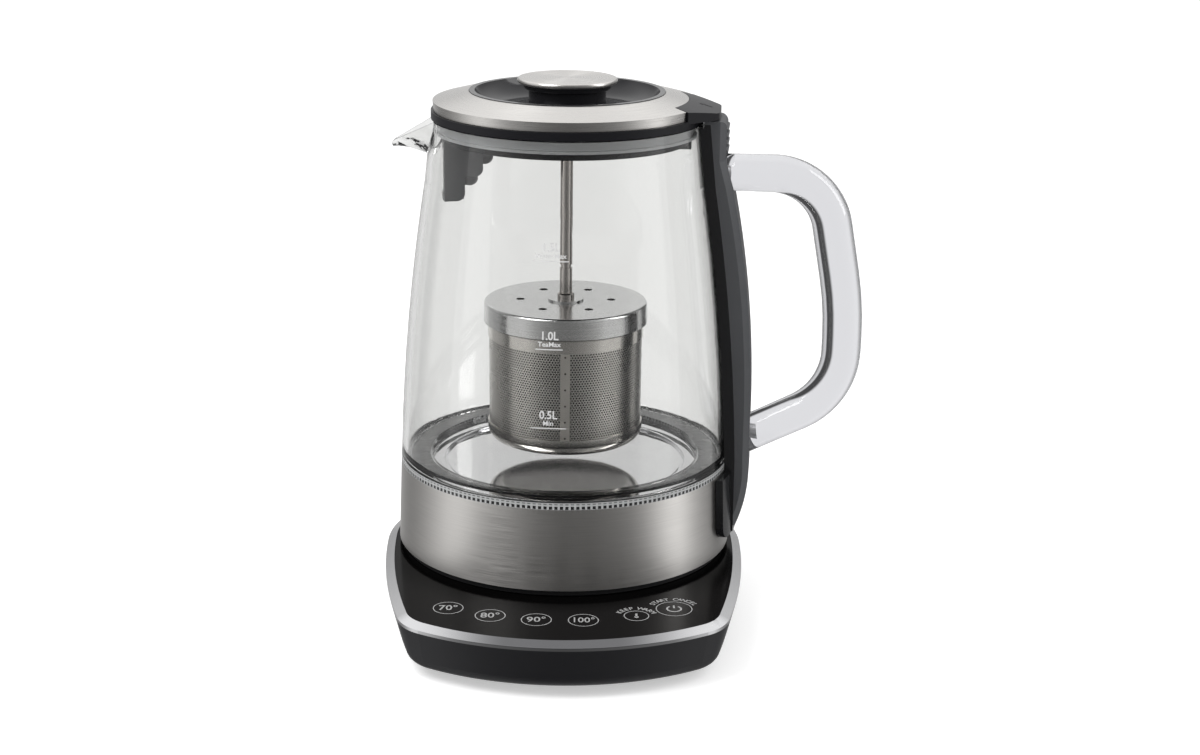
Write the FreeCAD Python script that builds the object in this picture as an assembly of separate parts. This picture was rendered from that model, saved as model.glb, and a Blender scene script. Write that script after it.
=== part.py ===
import FreeCAD, Part
import math
import os

# Automatic tea maker: a glass kettle with a liftable tea basket, standing on a
# round power dock with a touch panel. Millimetres, +Z up, z = 0 under the feet,
# x = y = 0 on the kettle's axis. The panel faces -Y. The kettle group is drawn
# with its handle along +X and its spout along -X, then turned on the dock.
Vector = FreeCAD.Vector
UP = Vector(0, 0, 1)
ORIGIN = Vector(0, 0, 0)

# ---- power base ----
BASE_HALF_WIDTH = 81.1
BASE_FRONT = 125.0
BASE_SIDE_RADIUS = 400.0
BASE_FRONT_RADIUS = 112.0
BASE_CORNER_ROUND = 22.0
FOOT_HEIGHT = 4.0
HOUSING_HEIGHT = 19.2
HOUSING_TOP = FOOT_HEIGHT + HOUSING_HEIGHT
HOUSING_WALL = 2.2
HOUSING_TAPER = 5.0
UNDERSIDE_ROUND = 7.0
BOTTOM_PLATE_INSET = 16.0
BOTTOM_PLATE_LIP = 1.8
BOTTOM_PLATE_THICKNESS = 1.6
FOOT_RADIUS = 6.0
REAR_FOOT_MARGIN = 29.1
REAR_FOOT_CIRCLE = BASE_HALF_WIDTH - REAR_FOOT_MARGIN
REAR_FOOT_ANGLES = (50, 130)
SIDE_FOOT_MARGIN = 33.1
SIDE_FOOT_SPREAD = BASE_HALF_WIDTH - SIDE_FOOT_MARGIN
SIDE_FOOT_INSET = 47.0
FRONT_FOOT_INSET = 24.0
FOOT_SINK = 1.5
FOOT_CHAMFER = 0.8
TRIM_LINE_HEIGHT = 1.4
TRIM_FACET_WIDTH = 3.9
TRIM_FACET_RISE = 2.0
PANEL_RISE = 3.2
PANEL_TOP = HOUSING_TOP + PANEL_RISE
PANEL_THICKNESS = 2.4
PANEL_GAP = 0.15
DOCK_RADIUS = 60.0
DOCK_SINK = 0.6
DOCK_THICKNESS = 2.0
TOUCH_INSET = 24.5
TOUCH_CIRCLE = BASE_FRONT - TOUCH_INSET
TOUCH_ANGLES = (-120.2, -108.4, -96.8, -85.1, -71.5, -60.7)
TOUCH_SPRING_RADIUS = 3.5
TOUCH_SPRING_WIRE = 0.8
BOARD_HALF_WIDTH = 54.0
BOARD_DEPTH = 26.0
BOARD_FRONT_INSET = 14.0
BOARD_FRONT_Y = BOARD_FRONT_INSET - BASE_FRONT
BOARD_THICKNESS = 1.6
BOARD_DROP = 5.0
BOARD_POST_RADIUS = 3.0
BOARD_POST_INSET = 5.0
BOARD_POST_SPREAD = 40.0
SCREW_HEAD_RADIUS = 2.6
SCREW_HEAD_HEIGHT = 1.6
SCREW_SHANK_RADIUS = 1.2
SCREW_LENGTH = 8.0
GLAND_BORE = 3.4
GLAND_WALL = 1.6
GLAND_RADIUS = GLAND_BORE + GLAND_WALL
GLAND_LENGTH = 7.0
GLAND_FLANGE = 1.6
GLAND_FLANGE_OVERHANG = 1.2
GLAND_SETBACK = 2.0
GLAND_DROP = 8.7
GLAND_Z = HOUSING_TOP - GLAND_DROP
CONNECTOR_FLANGE_OVERHANG = 12.0
CONNECTOR_HUB_RADIUS = 12.0
CONNECTOR_FLANGE_RADIUS = CONNECTOR_HUB_RADIUS + CONNECTOR_FLANGE_OVERHANG
CONNECTOR_HUB_RISE = 6.6
CONNECTOR_HUB_TOP = PANEL_TOP + CONNECTOR_HUB_RISE
CONNECTOR_PIN_RADIUS = 3.0
CONNECTOR_PIN_RISE = 7.0
CONNECTOR_PIN_TOP = CONNECTOR_HUB_TOP + CONNECTOR_PIN_RISE

# ---- kettle foot, band and heater ----
KETTLE_TURN = -6.0
REST_GAP = 0.3
GLASS_FOOT_RADIUS = 74.1
BAND_STEP = 0.2
BAND_FLARE = 1.2
BAND_TOP_RADIUS = GLASS_FOOT_RADIUS + BAND_STEP
BAND_BOTTOM_RADIUS = BAND_TOP_RADIUS + BAND_FLARE
FOOT_RING_HEIGHT = 2.7
BAND_BOTTOM_Z = PANEL_TOP + REST_GAP + FOOT_RING_HEIGHT
BAND_HEIGHT = 36.6
BAND_TOP_Z = BAND_BOTTOM_Z + BAND_HEIGHT
BAND_WALL = 0.8
FOOT_RING_INSET = 1.9
FOOT_RING_WIDTH = 11.6
FOOT_RING_OUTER = BAND_BOTTOM_RADIUS - FOOT_RING_INSET
FOOT_RING_INNER = FOOT_RING_OUTER - FOOT_RING_WIDTH
INNER_FIT = 0.4
COVER_THICKNESS = 2.4
SOCKET_CLEARANCE = 0.4
SOCKET_WALL = 7.6
SOCKET_RADIUS = CONNECTOR_HUB_RADIUS + SOCKET_CLEARANCE + SOCKET_WALL
SOCKET_FLANGE = 3.0
SOCKET_FLANGE_THICKNESS = 2.0
SOCKET_HEADROOM = 1.0
SOCKET_ROOF = 5.0
SOCKET_TOP = CONNECTOR_PIN_TOP + SOCKET_HEADROOM + SOCKET_ROOF
GLASS_FLOOR_LEDGE = 13.5
GLASS_FLOOR_BORE = GLASS_FOOT_RADIUS - GLASS_FLOOR_LEDGE
PLATE_DROP = 1.0
PLATE_TOP_Z = BAND_TOP_Z - PLATE_DROP
PLATE_THICKNESS = 1.2
PLATE_RIM_GAP = 0.6
PLATE_RIM_WIDTH = 5.5
PLATE_RIM_OUTER = GLASS_FLOOR_BORE - PLATE_RIM_GAP
PLATE_RIM_INNER = PLATE_RIM_OUTER - PLATE_RIM_WIDTH
PLATE_RIM_RISE = 1.2
PLATE_RIM_ROUND = 0.5
PLATE_GROOVE_DEPTH = 0.5
PLATE_GROOVE_WIDTH = 1.6
ELEMENT_RADIUS = 42.0
ELEMENT_TUBE = 3.3
ELEMENT_GAP_ANGLE = 40.0
TERMINAL_SETBACK_ANGLE = 3.0
TERMINAL_RADIUS = 1.8
TERMINAL_LENGTH = 12.0
THERMOSTAT_RADIUS = 9.0
THERMOSTAT_HEIGHT = 8.0
BLADE_THICKNESS = 1.0
BLADE_WIDTH = 5.0
BLADE_LENGTH = 6.0
BLADE_SPREAD = 4.0
SEAL_THICKNESS = 1.0
SEAL_SETBACK = 1.0

# ---- glass jug ----
GLASS_WALL = 2.6
GLASS_FLOOR = 4.0
GLASS_FLOOR_ROUND = 3.0
GLASS_FOOT_STEP = 1.8
JUNCTION_HEIGHT = 3.0
GLASS_SEAT = 0.4
GLASS_MID_SETBACK = 3.7
GLASS_MID_RISE = 61.0
GLASS_HIGH_SETBACK = 11.7
GLASS_HIGH_RISE = 124.6
NECK_SETBACK = 2.8
NECK_HEIGHT = 27.2
GLASS_LOW_Z = BAND_TOP_Z + JUNCTION_HEIGHT + GLASS_SEAT
GLASS_LOW = (GLASS_FOOT_RADIUS, GLASS_LOW_Z)
GLASS_MID = (GLASS_FOOT_RADIUS - GLASS_MID_SETBACK, GLASS_LOW_Z + GLASS_MID_RISE)
GLASS_HIGH = (GLASS_FOOT_RADIUS - GLASS_HIGH_SETBACK, GLASS_LOW_Z + GLASS_HIGH_RISE)
RIM_RADIUS = GLASS_HIGH[0] - NECK_SETBACK
RIM_Z = GLASS_HIGH[1] + NECK_HEIGHT
SPOUT_SECTIONS = (
    # distance out from the rim's edge, half width, height over the rim, half height
    (-9.6, 25.0, 0.8, 21.5),
    (1.4, 18.0, -1.2, 16.0),
    (9.4, 10.5, -4.7, 10.3),
    (17.4, 4.4, -10.2, 4.4),
)
SPOUT_BORE_SHARE = 0.8
SPOUT_BORE_LIFT = 0.5
SPOUT_LIP_DROP = 11.6
SPOUT_LIP_Z = RIM_Z - SPOUT_LIP_DROP
SPOUT_LENGTH = 17.0
SPOUT_REACH = RIM_RADIUS + SPOUT_LENGTH
SPOUT_FALL_START = 4.0

# ---- spine and handle ----
SPINE_HALF_WIDTH = 12.0
GASKET_DEPTH = 2.0
SPINE_BODY_DEPTH = 2.8
SPINE_RISE = 2.1
SPINE_TOP_Z = RIM_Z + SPINE_RISE
PAD_RISE = 7.1
PAD_DROP = 1.0
PAD_HALF_WIDTH = 25.0
PAD_THICKNESS = 3.0
PAD_BOTTOM_Z = BAND_BOTTOM_Z + PAD_RISE
PAD_TOP_Z = BAND_TOP_Z - PAD_DROP
PAD_ROUND = 6.0
# The cover's side outline: how far each point stands off the wall behind it, and its height.
COVER_TOP_STAND = 10.6
COVER_TOP_DROP = 15.2
COVER_UPPER_STAND = 10.8
COVER_UPPER_RISE = 1.0
COVER_MID_STAND = 10.3
COVER_MID_RISE = 20.6
COVER_LOWER_STAND = 10.1
COVER_LOWER_RISE = 28.6
COVER_KNEE_RISE = 0.6
COVER_TAPER_STAND = 7.3
COVER_TAPER_RISE = 14.5
COVER_END_STAND = 3.4
COVER_END_RISE = 2.0
SPINE_OUTER_TOP = (RIM_RADIUS + COVER_TOP_STAND, RIM_Z - COVER_TOP_DROP)
SPINE_OUTER_UPPER = (GLASS_HIGH[0] + COVER_UPPER_STAND, GLASS_HIGH[1] + COVER_UPPER_RISE)
SPINE_OUTER_MID = (GLASS_MID[0] + COVER_MID_STAND, GLASS_MID[1] + COVER_MID_RISE)
SPINE_OUTER_LOWER = (GLASS_FOOT_RADIUS + COVER_LOWER_STAND, GLASS_LOW_Z + COVER_LOWER_RISE)
SPINE_OUTER_KNEE = (SPINE_OUTER_LOWER[0], GLASS_LOW_Z + COVER_KNEE_RISE)
SPINE_TAPER_MID = (BAND_BOTTOM_RADIUS + COVER_TAPER_STAND, PAD_BOTTOM_Z + COVER_TAPER_RISE)
SPINE_TAPER_END = (BAND_BOTTOM_RADIUS + COVER_END_STAND, PAD_BOTTOM_Z + COVER_END_RISE)
SPINE_CHAMFER = 2.8
SPINE_TOP_ROUND = 3.0
GRIP_RIDGES = 4
GRIP_RIDGE_PITCH = 3.2
GRIP_RIDGE_RADIUS = 0.8
GRIP_DROP = 4.3
GRIP_RIDGE_TOP = SPINE_TOP_Z - GRIP_DROP
HANDLE_RADIUS = 8.2
HANDLE_DROP = 22.4
HANDLE_TOP_Z = RIM_Z - HANDLE_DROP
HANDLE_REACH = 40.6
HANDLE_CORNER_RISE = 5.5
HANDLE_UPPER_SETBACK = 9.3
HANDLE_BOW_SETBACK = 1.3
HANDLE_ROOT_SINK = 4.2
HANDLE_ROOT_DROP = 24.7
HANDLE_LOWER_CORNER = (SPINE_OUTER_LOWER[0] + HANDLE_REACH, SPINE_OUTER_LOWER[1] + HANDLE_CORNER_RISE)
HANDLE_UPPER_CORNER = (HANDLE_LOWER_CORNER[0] - HANDLE_UPPER_SETBACK, HANDLE_TOP_Z)
HANDLE_BOW = (HANDLE_LOWER_CORNER[0] - HANDLE_BOW_SETBACK, (HANDLE_LOWER_CORNER[1] + HANDLE_TOP_Z) / 2)
HANDLE_LOWER_END = (SPINE_OUTER_LOWER[0] - HANDLE_ROOT_SINK, HANDLE_LOWER_CORNER[1] - HANDLE_ROOT_DROP)
HANDLE_UPPER_ROUND = 20.0
HANDLE_BOW_ROUND = 150.0
HANDLE_LOWER_ROUND = 15.0
STUD_RADIUS = 2.5
STUD_REACH = 3.0
STUD_HEAD_RADIUS = 4.5
STUD_HEAD_HEIGHT = 1.6

# ---- lid ----
LID_OVERHANG = -0.1
LID_BAND_RADIUS = RIM_RADIUS + LID_OVERHANG
LID_BAND_Z = RIM_Z + REST_GAP
LID_BAND_HEIGHT = 3.6
RING_BOTTOM_Z = LID_BAND_Z + LID_BAND_HEIGHT
RING_BAND_HEIGHT = 4.0
RING_CREASE_Z = RING_BOTTOM_Z + RING_BAND_HEIGHT
RING_INSET = 0.8
RING_RADIUS = LID_BAND_RADIUS - RING_INSET
RING_SLOPE_WIDTH = 15.7
RING_SLOPE_RISE = 4.1
RING_INNER_RADIUS = RING_RADIUS - RING_SLOPE_WIDTH
RING_INNER_Z = RING_CREASE_Z + RING_SLOPE_RISE
RING_THICKNESS = 0.8
RING_DRAFT = 0.3
TAB_SEAT_INSET = 5.5
TAB_SEAT_RADIUS = RING_RADIUS - TAB_SEAT_INSET
TAB_HALF_ANGLE = 24.5
TAB_NOTCH_GAP_ANGLE = 0.3
TAB_HALF_WIDTH = 11.6
TAB_SETBACK = 3.2
TAB_REACH = SPINE_OUTER_TOP[0] - TAB_SETBACK
TAB_LIFT = 0.7
TAB_CROWN = 0.1
TAB_ROUND = 7.0
BOWL_RIM_WIDTH = 2.4
BOWL_RIM_RISE = 0.3
BOWL_DEPTH = 7.2
BOWL_FLOOR_Z = RING_INNER_Z - BOWL_DEPTH
BOWL_SHELL = 1.6
BOWL_CURVE_INSET = 4.0
BOWL_CURVE_RISE = 2.4
LID_FLOOR_THICKNESS = 2.0
LID_FLOOR_Z = LID_BAND_Z - LID_FLOOR_THICKNESS
NECK_CLEARANCE = 3.6
PLUG_RADIUS = RIM_RADIUS - GLASS_WALL - NECK_CLEARANCE
PLUG_WALL = 2.4
PLUG_DEPTH = 9.1
PLUG_BOTTOM_Z = LID_BAND_Z - PLUG_DEPTH
SEAL_CLEARANCE = 0.25
SEAL_RADIUS = RIM_RADIUS - GLASS_WALL - SEAL_CLEARANCE
SEAL_RISE = 3.1
SEAL_Z = PLUG_BOTTOM_Z + SEAL_RISE
SEAL_HEIGHT = 5.0
SEAL_LIP = 1.2
LOBE_HALF_WIDTH = 6.0
LOBE_DROP = 2.5
LOBE_BOTTOM_Z = PLUG_BOTTOM_Z - LOBE_DROP
LOBE_DEPTH = 4.0
GUIDE_RADIUS = 7.0
GUIDE_DROP = 10.5
GUIDE_BOTTOM_Z = LID_FLOOR_Z - GUIDE_DROP
GUIDE_CLEARANCE = 0.05
DETENT_RISE = 5.9
DETENT_Z = GUIDE_BOTTOM_Z + DETENT_RISE
DETENT_BALL_RADIUS = 1.0
DETENT_SPRING_RADIUS = 0.9
DETENT_SPRING_WIRE = 0.25
DETENT_CAP = 0.6
STRAINER_OFFSET = 1.2
STRAINER_RADIUS = PLUG_RADIUS + STRAINER_OFFSET
STRAINER_WALL = 1.8
STRAINER_HALF_ANGLE = 22.0
STRAINER_FIN_SETBACK_ANGLE = 1.0
STRAINER_HEIGHT = 25.9
STRAINER_BOTTOM_Z = PLUG_BOTTOM_Z - STRAINER_HEIGHT
STRAINER_FIN_STEP = 10.5
STRAINER_FIN_STEP_Z = STRAINER_BOTTOM_Z + STRAINER_FIN_STEP
STRAINER_FIN_UPPER = 15.0
STRAINER_FIN_LOWER = 7.0
STRAINER_FIN_ROUND = 3.5
STRAINER_FRAME_MARGIN = 3.0
MESH_THICKNESS = 0.5

# ---- infuser ----
KNOB_RADIUS = 21.9
KNOB_RISE = 13.0
KNOB_TOP_Z = BOWL_FLOOR_Z + KNOB_RISE
KNOB_THICKNESS = 2.2
KNOB_ROUND = 1.0
KNOB_OVERHANG = 2.8
KNOB_RIM_RADIUS = KNOB_RADIUS - KNOB_OVERHANG
KNOB_RIM_HEIGHT = 2.6
STEM_INSET = 2.2
STEM_RADIUS = KNOB_RIM_RADIUS - STEM_INSET
STEM_WALL = 2.4
BOWL_FLOOR_MARGIN = 7.1
BOWL_FLOOR_RADIUS = STEM_RADIUS + BOWL_FLOOR_MARGIN
ROD_RADIUS = 2.8
INFUSER_TRAVEL = 60.0
GROOVE_Z = DETENT_Z - INFUSER_TRAVEL
GROOVE_WIDTH = 1.6
GROOVE_DEPTH = 0.5

# ---- basket and cap ----
BASKET_FLOOR_GAP = 11.2
BASKET_BOTTOM_Z = PLATE_TOP_Z + BASKET_FLOOR_GAP
BASKET_RADIUS = 34.9
BASKET_WALL = 0.6
BASKET_TOP_GAP = 0.4
BASKET_BOTTOM_BAND = 7.8
BASKET_BOTTOM_BAND_Z = BASKET_BOTTOM_Z + BASKET_BOTTOM_BAND
BASKET_BOTTOM_ROUND = 5.0
INFUSER_HEIGHT = 63.2
CAP_TOP_Z = BASKET_BOTTOM_Z + INFUSER_HEIGHT
CAP_WALL = 0.8
CAP_PLAY = 0.7
CAP_RADIUS = BASKET_RADIUS + CAP_PLAY + CAP_WALL
CAP_FLARE = 0.3
CAP_SKIRT_HEIGHT = 9.1
CAP_SKIRT_Z = CAP_TOP_Z - CAP_SKIRT_HEIGHT
CAP_ROUND = 1.4
CAP_HOLE_RADIUS = 1.9
CAP_HOLE_INSET = 16.1
CAP_HOLE_CIRCLE = CAP_RADIUS - CAP_HOLE_INSET
CAP_HOLES = 6
CAP_BOSS_RADIUS = 8.0
CAP_BOSS_RISE = 0.8
COLLAR_WALL = 1.0
COLLAR_RADIUS = ROD_RADIUS + COLLAR_WALL
COLLAR_HEIGHT = 2.4
BASKET_TOP_BAND = 6.6
BASKET_TOP_BAND_Z = CAP_SKIRT_Z - BASKET_TOP_BAND
BASKET_BEAD_RADIUS = 0.35
BASKET_BEAD_RISE = 3.2
BASKET_BEAD_Z = CAP_SKIRT_Z + BASKET_BEAD_RISE
SEAM_WIDTH = 4.2
SEAM_THICKNESS = 0.4
SEAM_ANGLE = -84.0


# ---- helpers ----
def ring(outer, inner, bottom, top):
    """A flat ring on the main axis, or a disc where inner is 0."""
    shape = Part.makeCylinder(outer, top - bottom, Vector(0, 0, bottom))
    if inner > 0:
        shape = shape.cut(Part.makeCylinder(inner, top - bottom, Vector(0, 0, bottom)))
    return shape


def rod_between(start, end, radius):
    """A round bar from start to end."""
    run = end - start
    return Part.makeCylinder(radius, run.Length, start, run)


def flat(point):
    """A (radius, height) pair as a point of the XZ plane."""
    return Vector(point[0], 0, point[1])


def line(start, end):
    return Part.LineSegment(flat(start), flat(end)).toShape()


def arc(start, middle, end):
    return Part.Arc(flat(start), flat(middle), flat(end)).toShape()


def revolved(edges):
    """A closed half section in the XZ plane, turned about Z."""
    return Part.Face(Part.Wire(edges)).revolve(ORIGIN, UP, 360)


def revolved_points(points):
    corners = [flat(point) for point in points]
    return Part.Face(Part.makePolygon(corners + corners[:1])).revolve(ORIGIN, UP, 360)


def slab(half_width, x0, x1, z0, z1):
    """A box centred on the handle plane y = 0."""
    return Part.makeBox(x1 - x0, 2 * half_width, z1 - z0, Vector(x0, -half_width, z0))


def sector(radius, half_angle, bottom, top, middle_angle=0.0):
    """A pie slice about Z, half_angle to each side of middle_angle."""
    slice_ = Part.makeCylinder(radius, top - bottom, Vector(0, 0, bottom), UP, 2 * half_angle)
    slice_.rotate(ORIGIN, UP, middle_angle - half_angle)
    return slice_


def around(shape, angle, centre=ORIGIN):
    turned = shape.copy()
    turned.rotate(centre, UP, angle)
    return turned


def on_circle(radius, angle, z=0.0):
    a = math.radians(angle)
    return Vector(radius * math.cos(a), radius * math.sin(a), z)


def upright_edges(shape, height):
    """Straight vertical edges as tall as the shape."""
    found = []
    for edge in shape.Edges:
        run = edge.Vertexes[-1].Point - edge.Vertexes[0].Point
        if abs(abs(run.z) - height) < 1e-6 and math.hypot(run.x, run.y) < 1e-6:
            found.append(edge)
    return found


def edges_at(shape, z):
    """Edges that lie wholly at height z."""
    return [e for e in shape.Edges if all(abs(v.Point.z - z) < 1e-6 for v in e.Vertexes)
            and abs(e.BoundBox.ZMax - e.BoundBox.ZMin) < 1e-6]


def circles_cross(centre_a, radius_a, centre_b, radius_b):
    """The crossing of two circles that lies nearer the front."""
    gap = centre_b - centre_a
    along = (gap.Length ** 2 + radius_a ** 2 - radius_b ** 2) / (2 * gap.Length)
    across = math.sqrt(radius_a ** 2 - along ** 2)
    unit = gap * (1 / gap.Length)
    foot = centre_a + unit * along
    side = Vector(-unit.y, unit.x, 0) * across
    return min(foot + side, foot - side, key=lambda p: p.y)


def base_prism(inset, bottom, top):
    """The base's plan outline, moved inwards by inset, as an upright prism."""
    side_centre = Vector(BASE_HALF_WIDTH - BASE_SIDE_RADIUS, 0, 0)
    front_centre = Vector(0, BASE_FRONT_RADIUS - BASE_FRONT, 0)
    side_radius = BASE_SIDE_RADIUS - inset
    front_radius = BASE_FRONT_RADIUS - inset
    back_radius = BASE_HALF_WIDTH - inset
    corner = circles_cross(side_centre, side_radius, front_centre, front_radius)
    half = math.asin(corner.y / side_radius) / 2
    bulge = side_centre + Vector(math.cos(half), math.sin(half), 0) * side_radius

    def mirror(point):
        return Vector(-point.x, point.y, point.z)

    right = Vector(back_radius, 0, 0)
    left = mirror(right)
    back = Vector(0, back_radius, 0)
    front = Vector(0, inset - BASE_FRONT, 0)
    wire = Part.Wire([
        Part.Arc(right, back, left).toShape(),
        Part.Arc(left, mirror(bulge), mirror(corner)).toShape(),
        Part.Arc(mirror(corner), front, corner).toShape(),
        Part.Arc(corner, bulge, right).toShape(),
    ])
    prism = Part.Face(wire).extrude(Vector(0, 0, top - bottom))
    prism.translate(Vector(0, 0, bottom))
    corners = [e for e in upright_edges(prism, top - bottom) if e.BoundBox.YMax < -1.0]
    return prism.makeFillet(max(BASE_CORNER_ROUND - inset, 1.0), corners)


def outline_wire(inset, z):
    """The base's outline as a wire at height z."""
    prism = base_prism(inset, z, z + 1.0)
    floor = min(prism.Faces, key=lambda f: f.CenterOfMass.z)
    return floor.OuterWire


def rounded_path(points, radii):
    """Straight runs joined by tangent arcs of the given radii, in the XZ plane."""
    corners = [flat(point) for point in points]
    edges = []
    start = corners[0]
    for here, before, after, radius in zip(corners[1:-1], corners, corners[2:], radii):
        back = (before - here).normalize()
        on = (after - here).normalize()
        half = back.getAngle(on) / 2
        reach = radius / math.tan(half)
        centre = here + (back + on).normalize() * (radius / math.sin(half))
        enter = here + back * reach
        leave = here + on * reach
        middle = centre + (here - centre).normalize() * radius
        edges.append(Part.LineSegment(start, enter).toShape())
        edges.append(Part.Arc(enter, middle, leave).toShape())
        start = leave
    edges.append(Part.LineSegment(start, corners[-1]).toShape())
    return Part.Wire(edges)


def glass_radius(z):
    """Outer radius of the jug at height z, from its arc and its straight neck."""
    (r0, z0), (r1, z1), (r2, z2) = GLASS_LOW, GLASS_MID, GLASS_HIGH
    if z >= z2:
        return r2 + (RIM_RADIUS - r2) * (z - z2) / (RIM_Z - z2)
    curve = arc(GLASS_LOW, GLASS_MID, GLASS_HIGH).Curve
    centre = curve.Center
    return centre.x + math.sqrt(curve.Radius ** 2 - (z - centre.z) ** 2)


def glass_offset(offset, bottom, top):
    """The solid inside the jug's outer wall moved out by offset, cut to a height span."""
    low, middle, high = [(point[0] + offset, point[1]) for point in (GLASS_LOW, GLASS_MID, GLASS_HIGH)]
    floor = min(bottom, GLASS_LOW[1] - 1.0)
    end = (glass_radius(top) + offset, top)
    solid = revolved([
        line((0, floor), (low[0], floor)),
        line((low[0], floor), low),
        arc(low, middle, high),
        line(high, end),
        line(end, (0, top)),
        line((0, top), (0, floor)),
    ])
    if bottom > floor:
        solid = solid.cut(ring(2 * low[0], 0, floor, bottom))
    return solid


# ---- power base ----
def tapered_tray(inset, bottom, round_):
    """The base's form below the trim, moved inwards by inset, with sides that lean in downwards."""
    lean = HOUSING_TAPER * (HOUSING_TOP - bottom) / HOUSING_HEIGHT
    tray = Part.makeLoft([outline_wire(inset + lean, bottom), outline_wire(inset, HOUSING_TOP)], True, True)
    return tray.makeFillet(round_, edges_at(tray, bottom))


def base_housing():
    outer = tapered_tray(0, FOOT_HEIGHT, UNDERSIDE_ROUND)
    floor = FOOT_HEIGHT + HOUSING_WALL
    inner = tapered_tray(HOUSING_WALL, floor, UNDERSIDE_ROUND - HOUSING_WALL)
    shell = outer.cut(inner)
    shell = shell.cut(base_prism(BOTTOM_PLATE_INSET, FOOT_HEIGHT, floor))
    start = Vector(0, gland_y() - HOUSING_WALL, GLAND_Z)
    return shell.cut(rod_between(start, start + Vector(0, 4 * HOUSING_WALL, 0), GLAND_RADIUS))


def plate_bottom():
    return FOOT_HEIGHT + HOUSING_WALL - BOTTOM_PLATE_THICKNESS


def board_bottom():
    return PANEL_TOP - PANEL_THICKNESS - BOARD_DROP - BOARD_THICKNESS


def board_corners():
    x = BOARD_POST_SPREAD
    near = BOARD_FRONT_Y + BOARD_POST_INSET
    far = BOARD_FRONT_Y + BOARD_DEPTH - BOARD_POST_INSET
    return [(-x, far), (x, far), (-BOARD_POST_INSET, near), (BOARD_POST_INSET, near)]


def base_bottom_plate():
    floor = FOOT_HEIGHT + HOUSING_WALL
    plug = base_prism(BOTTOM_PLATE_INSET + PANEL_GAP, plate_bottom(), floor)
    lip = base_prism(BOTTOM_PLATE_INSET - BOTTOM_PLATE_LIP, floor, floor + BOTTOM_PLATE_THICKNESS)
    plate = plug.fuse(lip)
    for x, y in board_corners():
        post = Part.makeCylinder(BOARD_POST_RADIUS, board_bottom() - floor, Vector(x, y, floor))
        pilot_bottom = Vector(x, y, board_bottom() + BOARD_THICKNESS - SCREW_LENGTH)
        plate = plate.fuse(post).cut(Part.makeCylinder(SCREW_SHANK_RADIUS, SCREW_LENGTH, pilot_bottom))
    hub = ring(CONNECTOR_FLANGE_RADIUS, CONNECTOR_HUB_RADIUS, floor, connector_seat())
    plate = plate.fuse(hub)
    for foot in foot_places():
        plate = plate.cut(foot_solid(foot))
    return plate.removeSplitter()


def foot_places():
    rear = [on_circle(REAR_FOOT_CIRCLE, angle) for angle in REAR_FOOT_ANGLES]
    side = [Vector(x, SIDE_FOOT_INSET - BASE_FRONT, 0) for x in (-SIDE_FOOT_SPREAD, SIDE_FOOT_SPREAD)]
    return rear + side + [ORIGIN, Vector(0, FRONT_FOOT_INSET - BASE_FRONT, 0)]


def foot_solid(place):
    height = plate_bottom() + FOOT_SINK
    return Part.makeCylinder(FOOT_RADIUS, height, Vector(place.x, place.y, 0))


def base_feet():
    feet = []
    for place in foot_places():
        foot = foot_solid(place)
        feet.append(foot.makeChamfer(FOOT_CHAMFER, edges_at(foot, 0)))
    return Part.makeCompound(feet)


def base_trim():
    line_top = HOUSING_TOP + TRIM_LINE_HEIGHT
    skirt = base_prism(0, HOUSING_TOP, line_top)
    facet_top = outline_wire(TRIM_FACET_WIDTH, line_top + TRIM_FACET_RISE)
    facet = Part.makeLoft([outline_wire(0, line_top), facet_top], True, True)
    hole = base_prism(TRIM_FACET_WIDTH, HOUSING_TOP, line_top + TRIM_FACET_RISE)
    return skirt.fuse(facet).cut(hole)


def control_panel():
    under = PANEL_TOP - PANEL_THICKNESS
    plate = base_prism(TRIM_FACET_WIDTH + PANEL_GAP, under, PANEL_TOP)
    ledge = base_prism(TRIM_FACET_WIDTH + PANEL_GAP, HOUSING_TOP - HOUSING_WALL, under)
    ledge = ledge.cut(base_prism(TRIM_FACET_WIDTH + HOUSING_WALL, HOUSING_TOP - HOUSING_WALL, under))
    plate = plate.fuse(ledge)
    step = under + PANEL_THICKNESS / 2
    plate = plate.cut(ring(DOCK_RADIUS, 0, under, PANEL_TOP))
    seat = ring(DOCK_RADIUS, DOCK_RADIUS - DOCK_THICKNESS, under, step - DOCK_SINK)
    return plate.fuse(seat).removeSplitter()


def dock_plate():
    """The matt floor under the kettle, on the panel's inner step and round the connector."""
    top = PANEL_TOP - DOCK_SINK
    bottom = PANEL_TOP - PANEL_THICKNESS / 2 - DOCK_SINK
    plate = ring(DOCK_RADIUS - PANEL_GAP, CONNECTOR_FLANGE_RADIUS + PANEL_GAP, bottom, top)
    return plate


def connector_seat():
    return PANEL_TOP - PANEL_THICKNESS - DOCK_THICKNESS


def base_connector():
    """The dock's round connector: a flange, a hub with two slip-ring grooves and a centre pin."""
    top = PANEL_TOP - DOCK_SINK
    flange = ring(CONNECTOR_FLANGE_RADIUS, 0, connector_seat(), top)
    hub = ring(CONNECTOR_HUB_RADIUS, 0, top, CONNECTOR_HUB_TOP)
    pin = ring(CONNECTOR_PIN_RADIUS, 0, CONNECTOR_HUB_TOP, CONNECTOR_PIN_TOP)
    pin = pin.makeFillet(CONNECTOR_PIN_RADIUS * 0.6, edges_at(pin, CONNECTOR_PIN_TOP))
    groove_width = (CONNECTOR_HUB_RADIUS - CONNECTOR_PIN_RADIUS) / 5
    shape = flange.fuse(hub).fuse(pin)
    for step in (1, 3):
        inner = CONNECTOR_PIN_RADIUS + step * groove_width
        shape = shape.cut(ring(inner + groove_width, inner, top, CONNECTOR_HUB_TOP))
    return shape.removeSplitter()


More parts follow.
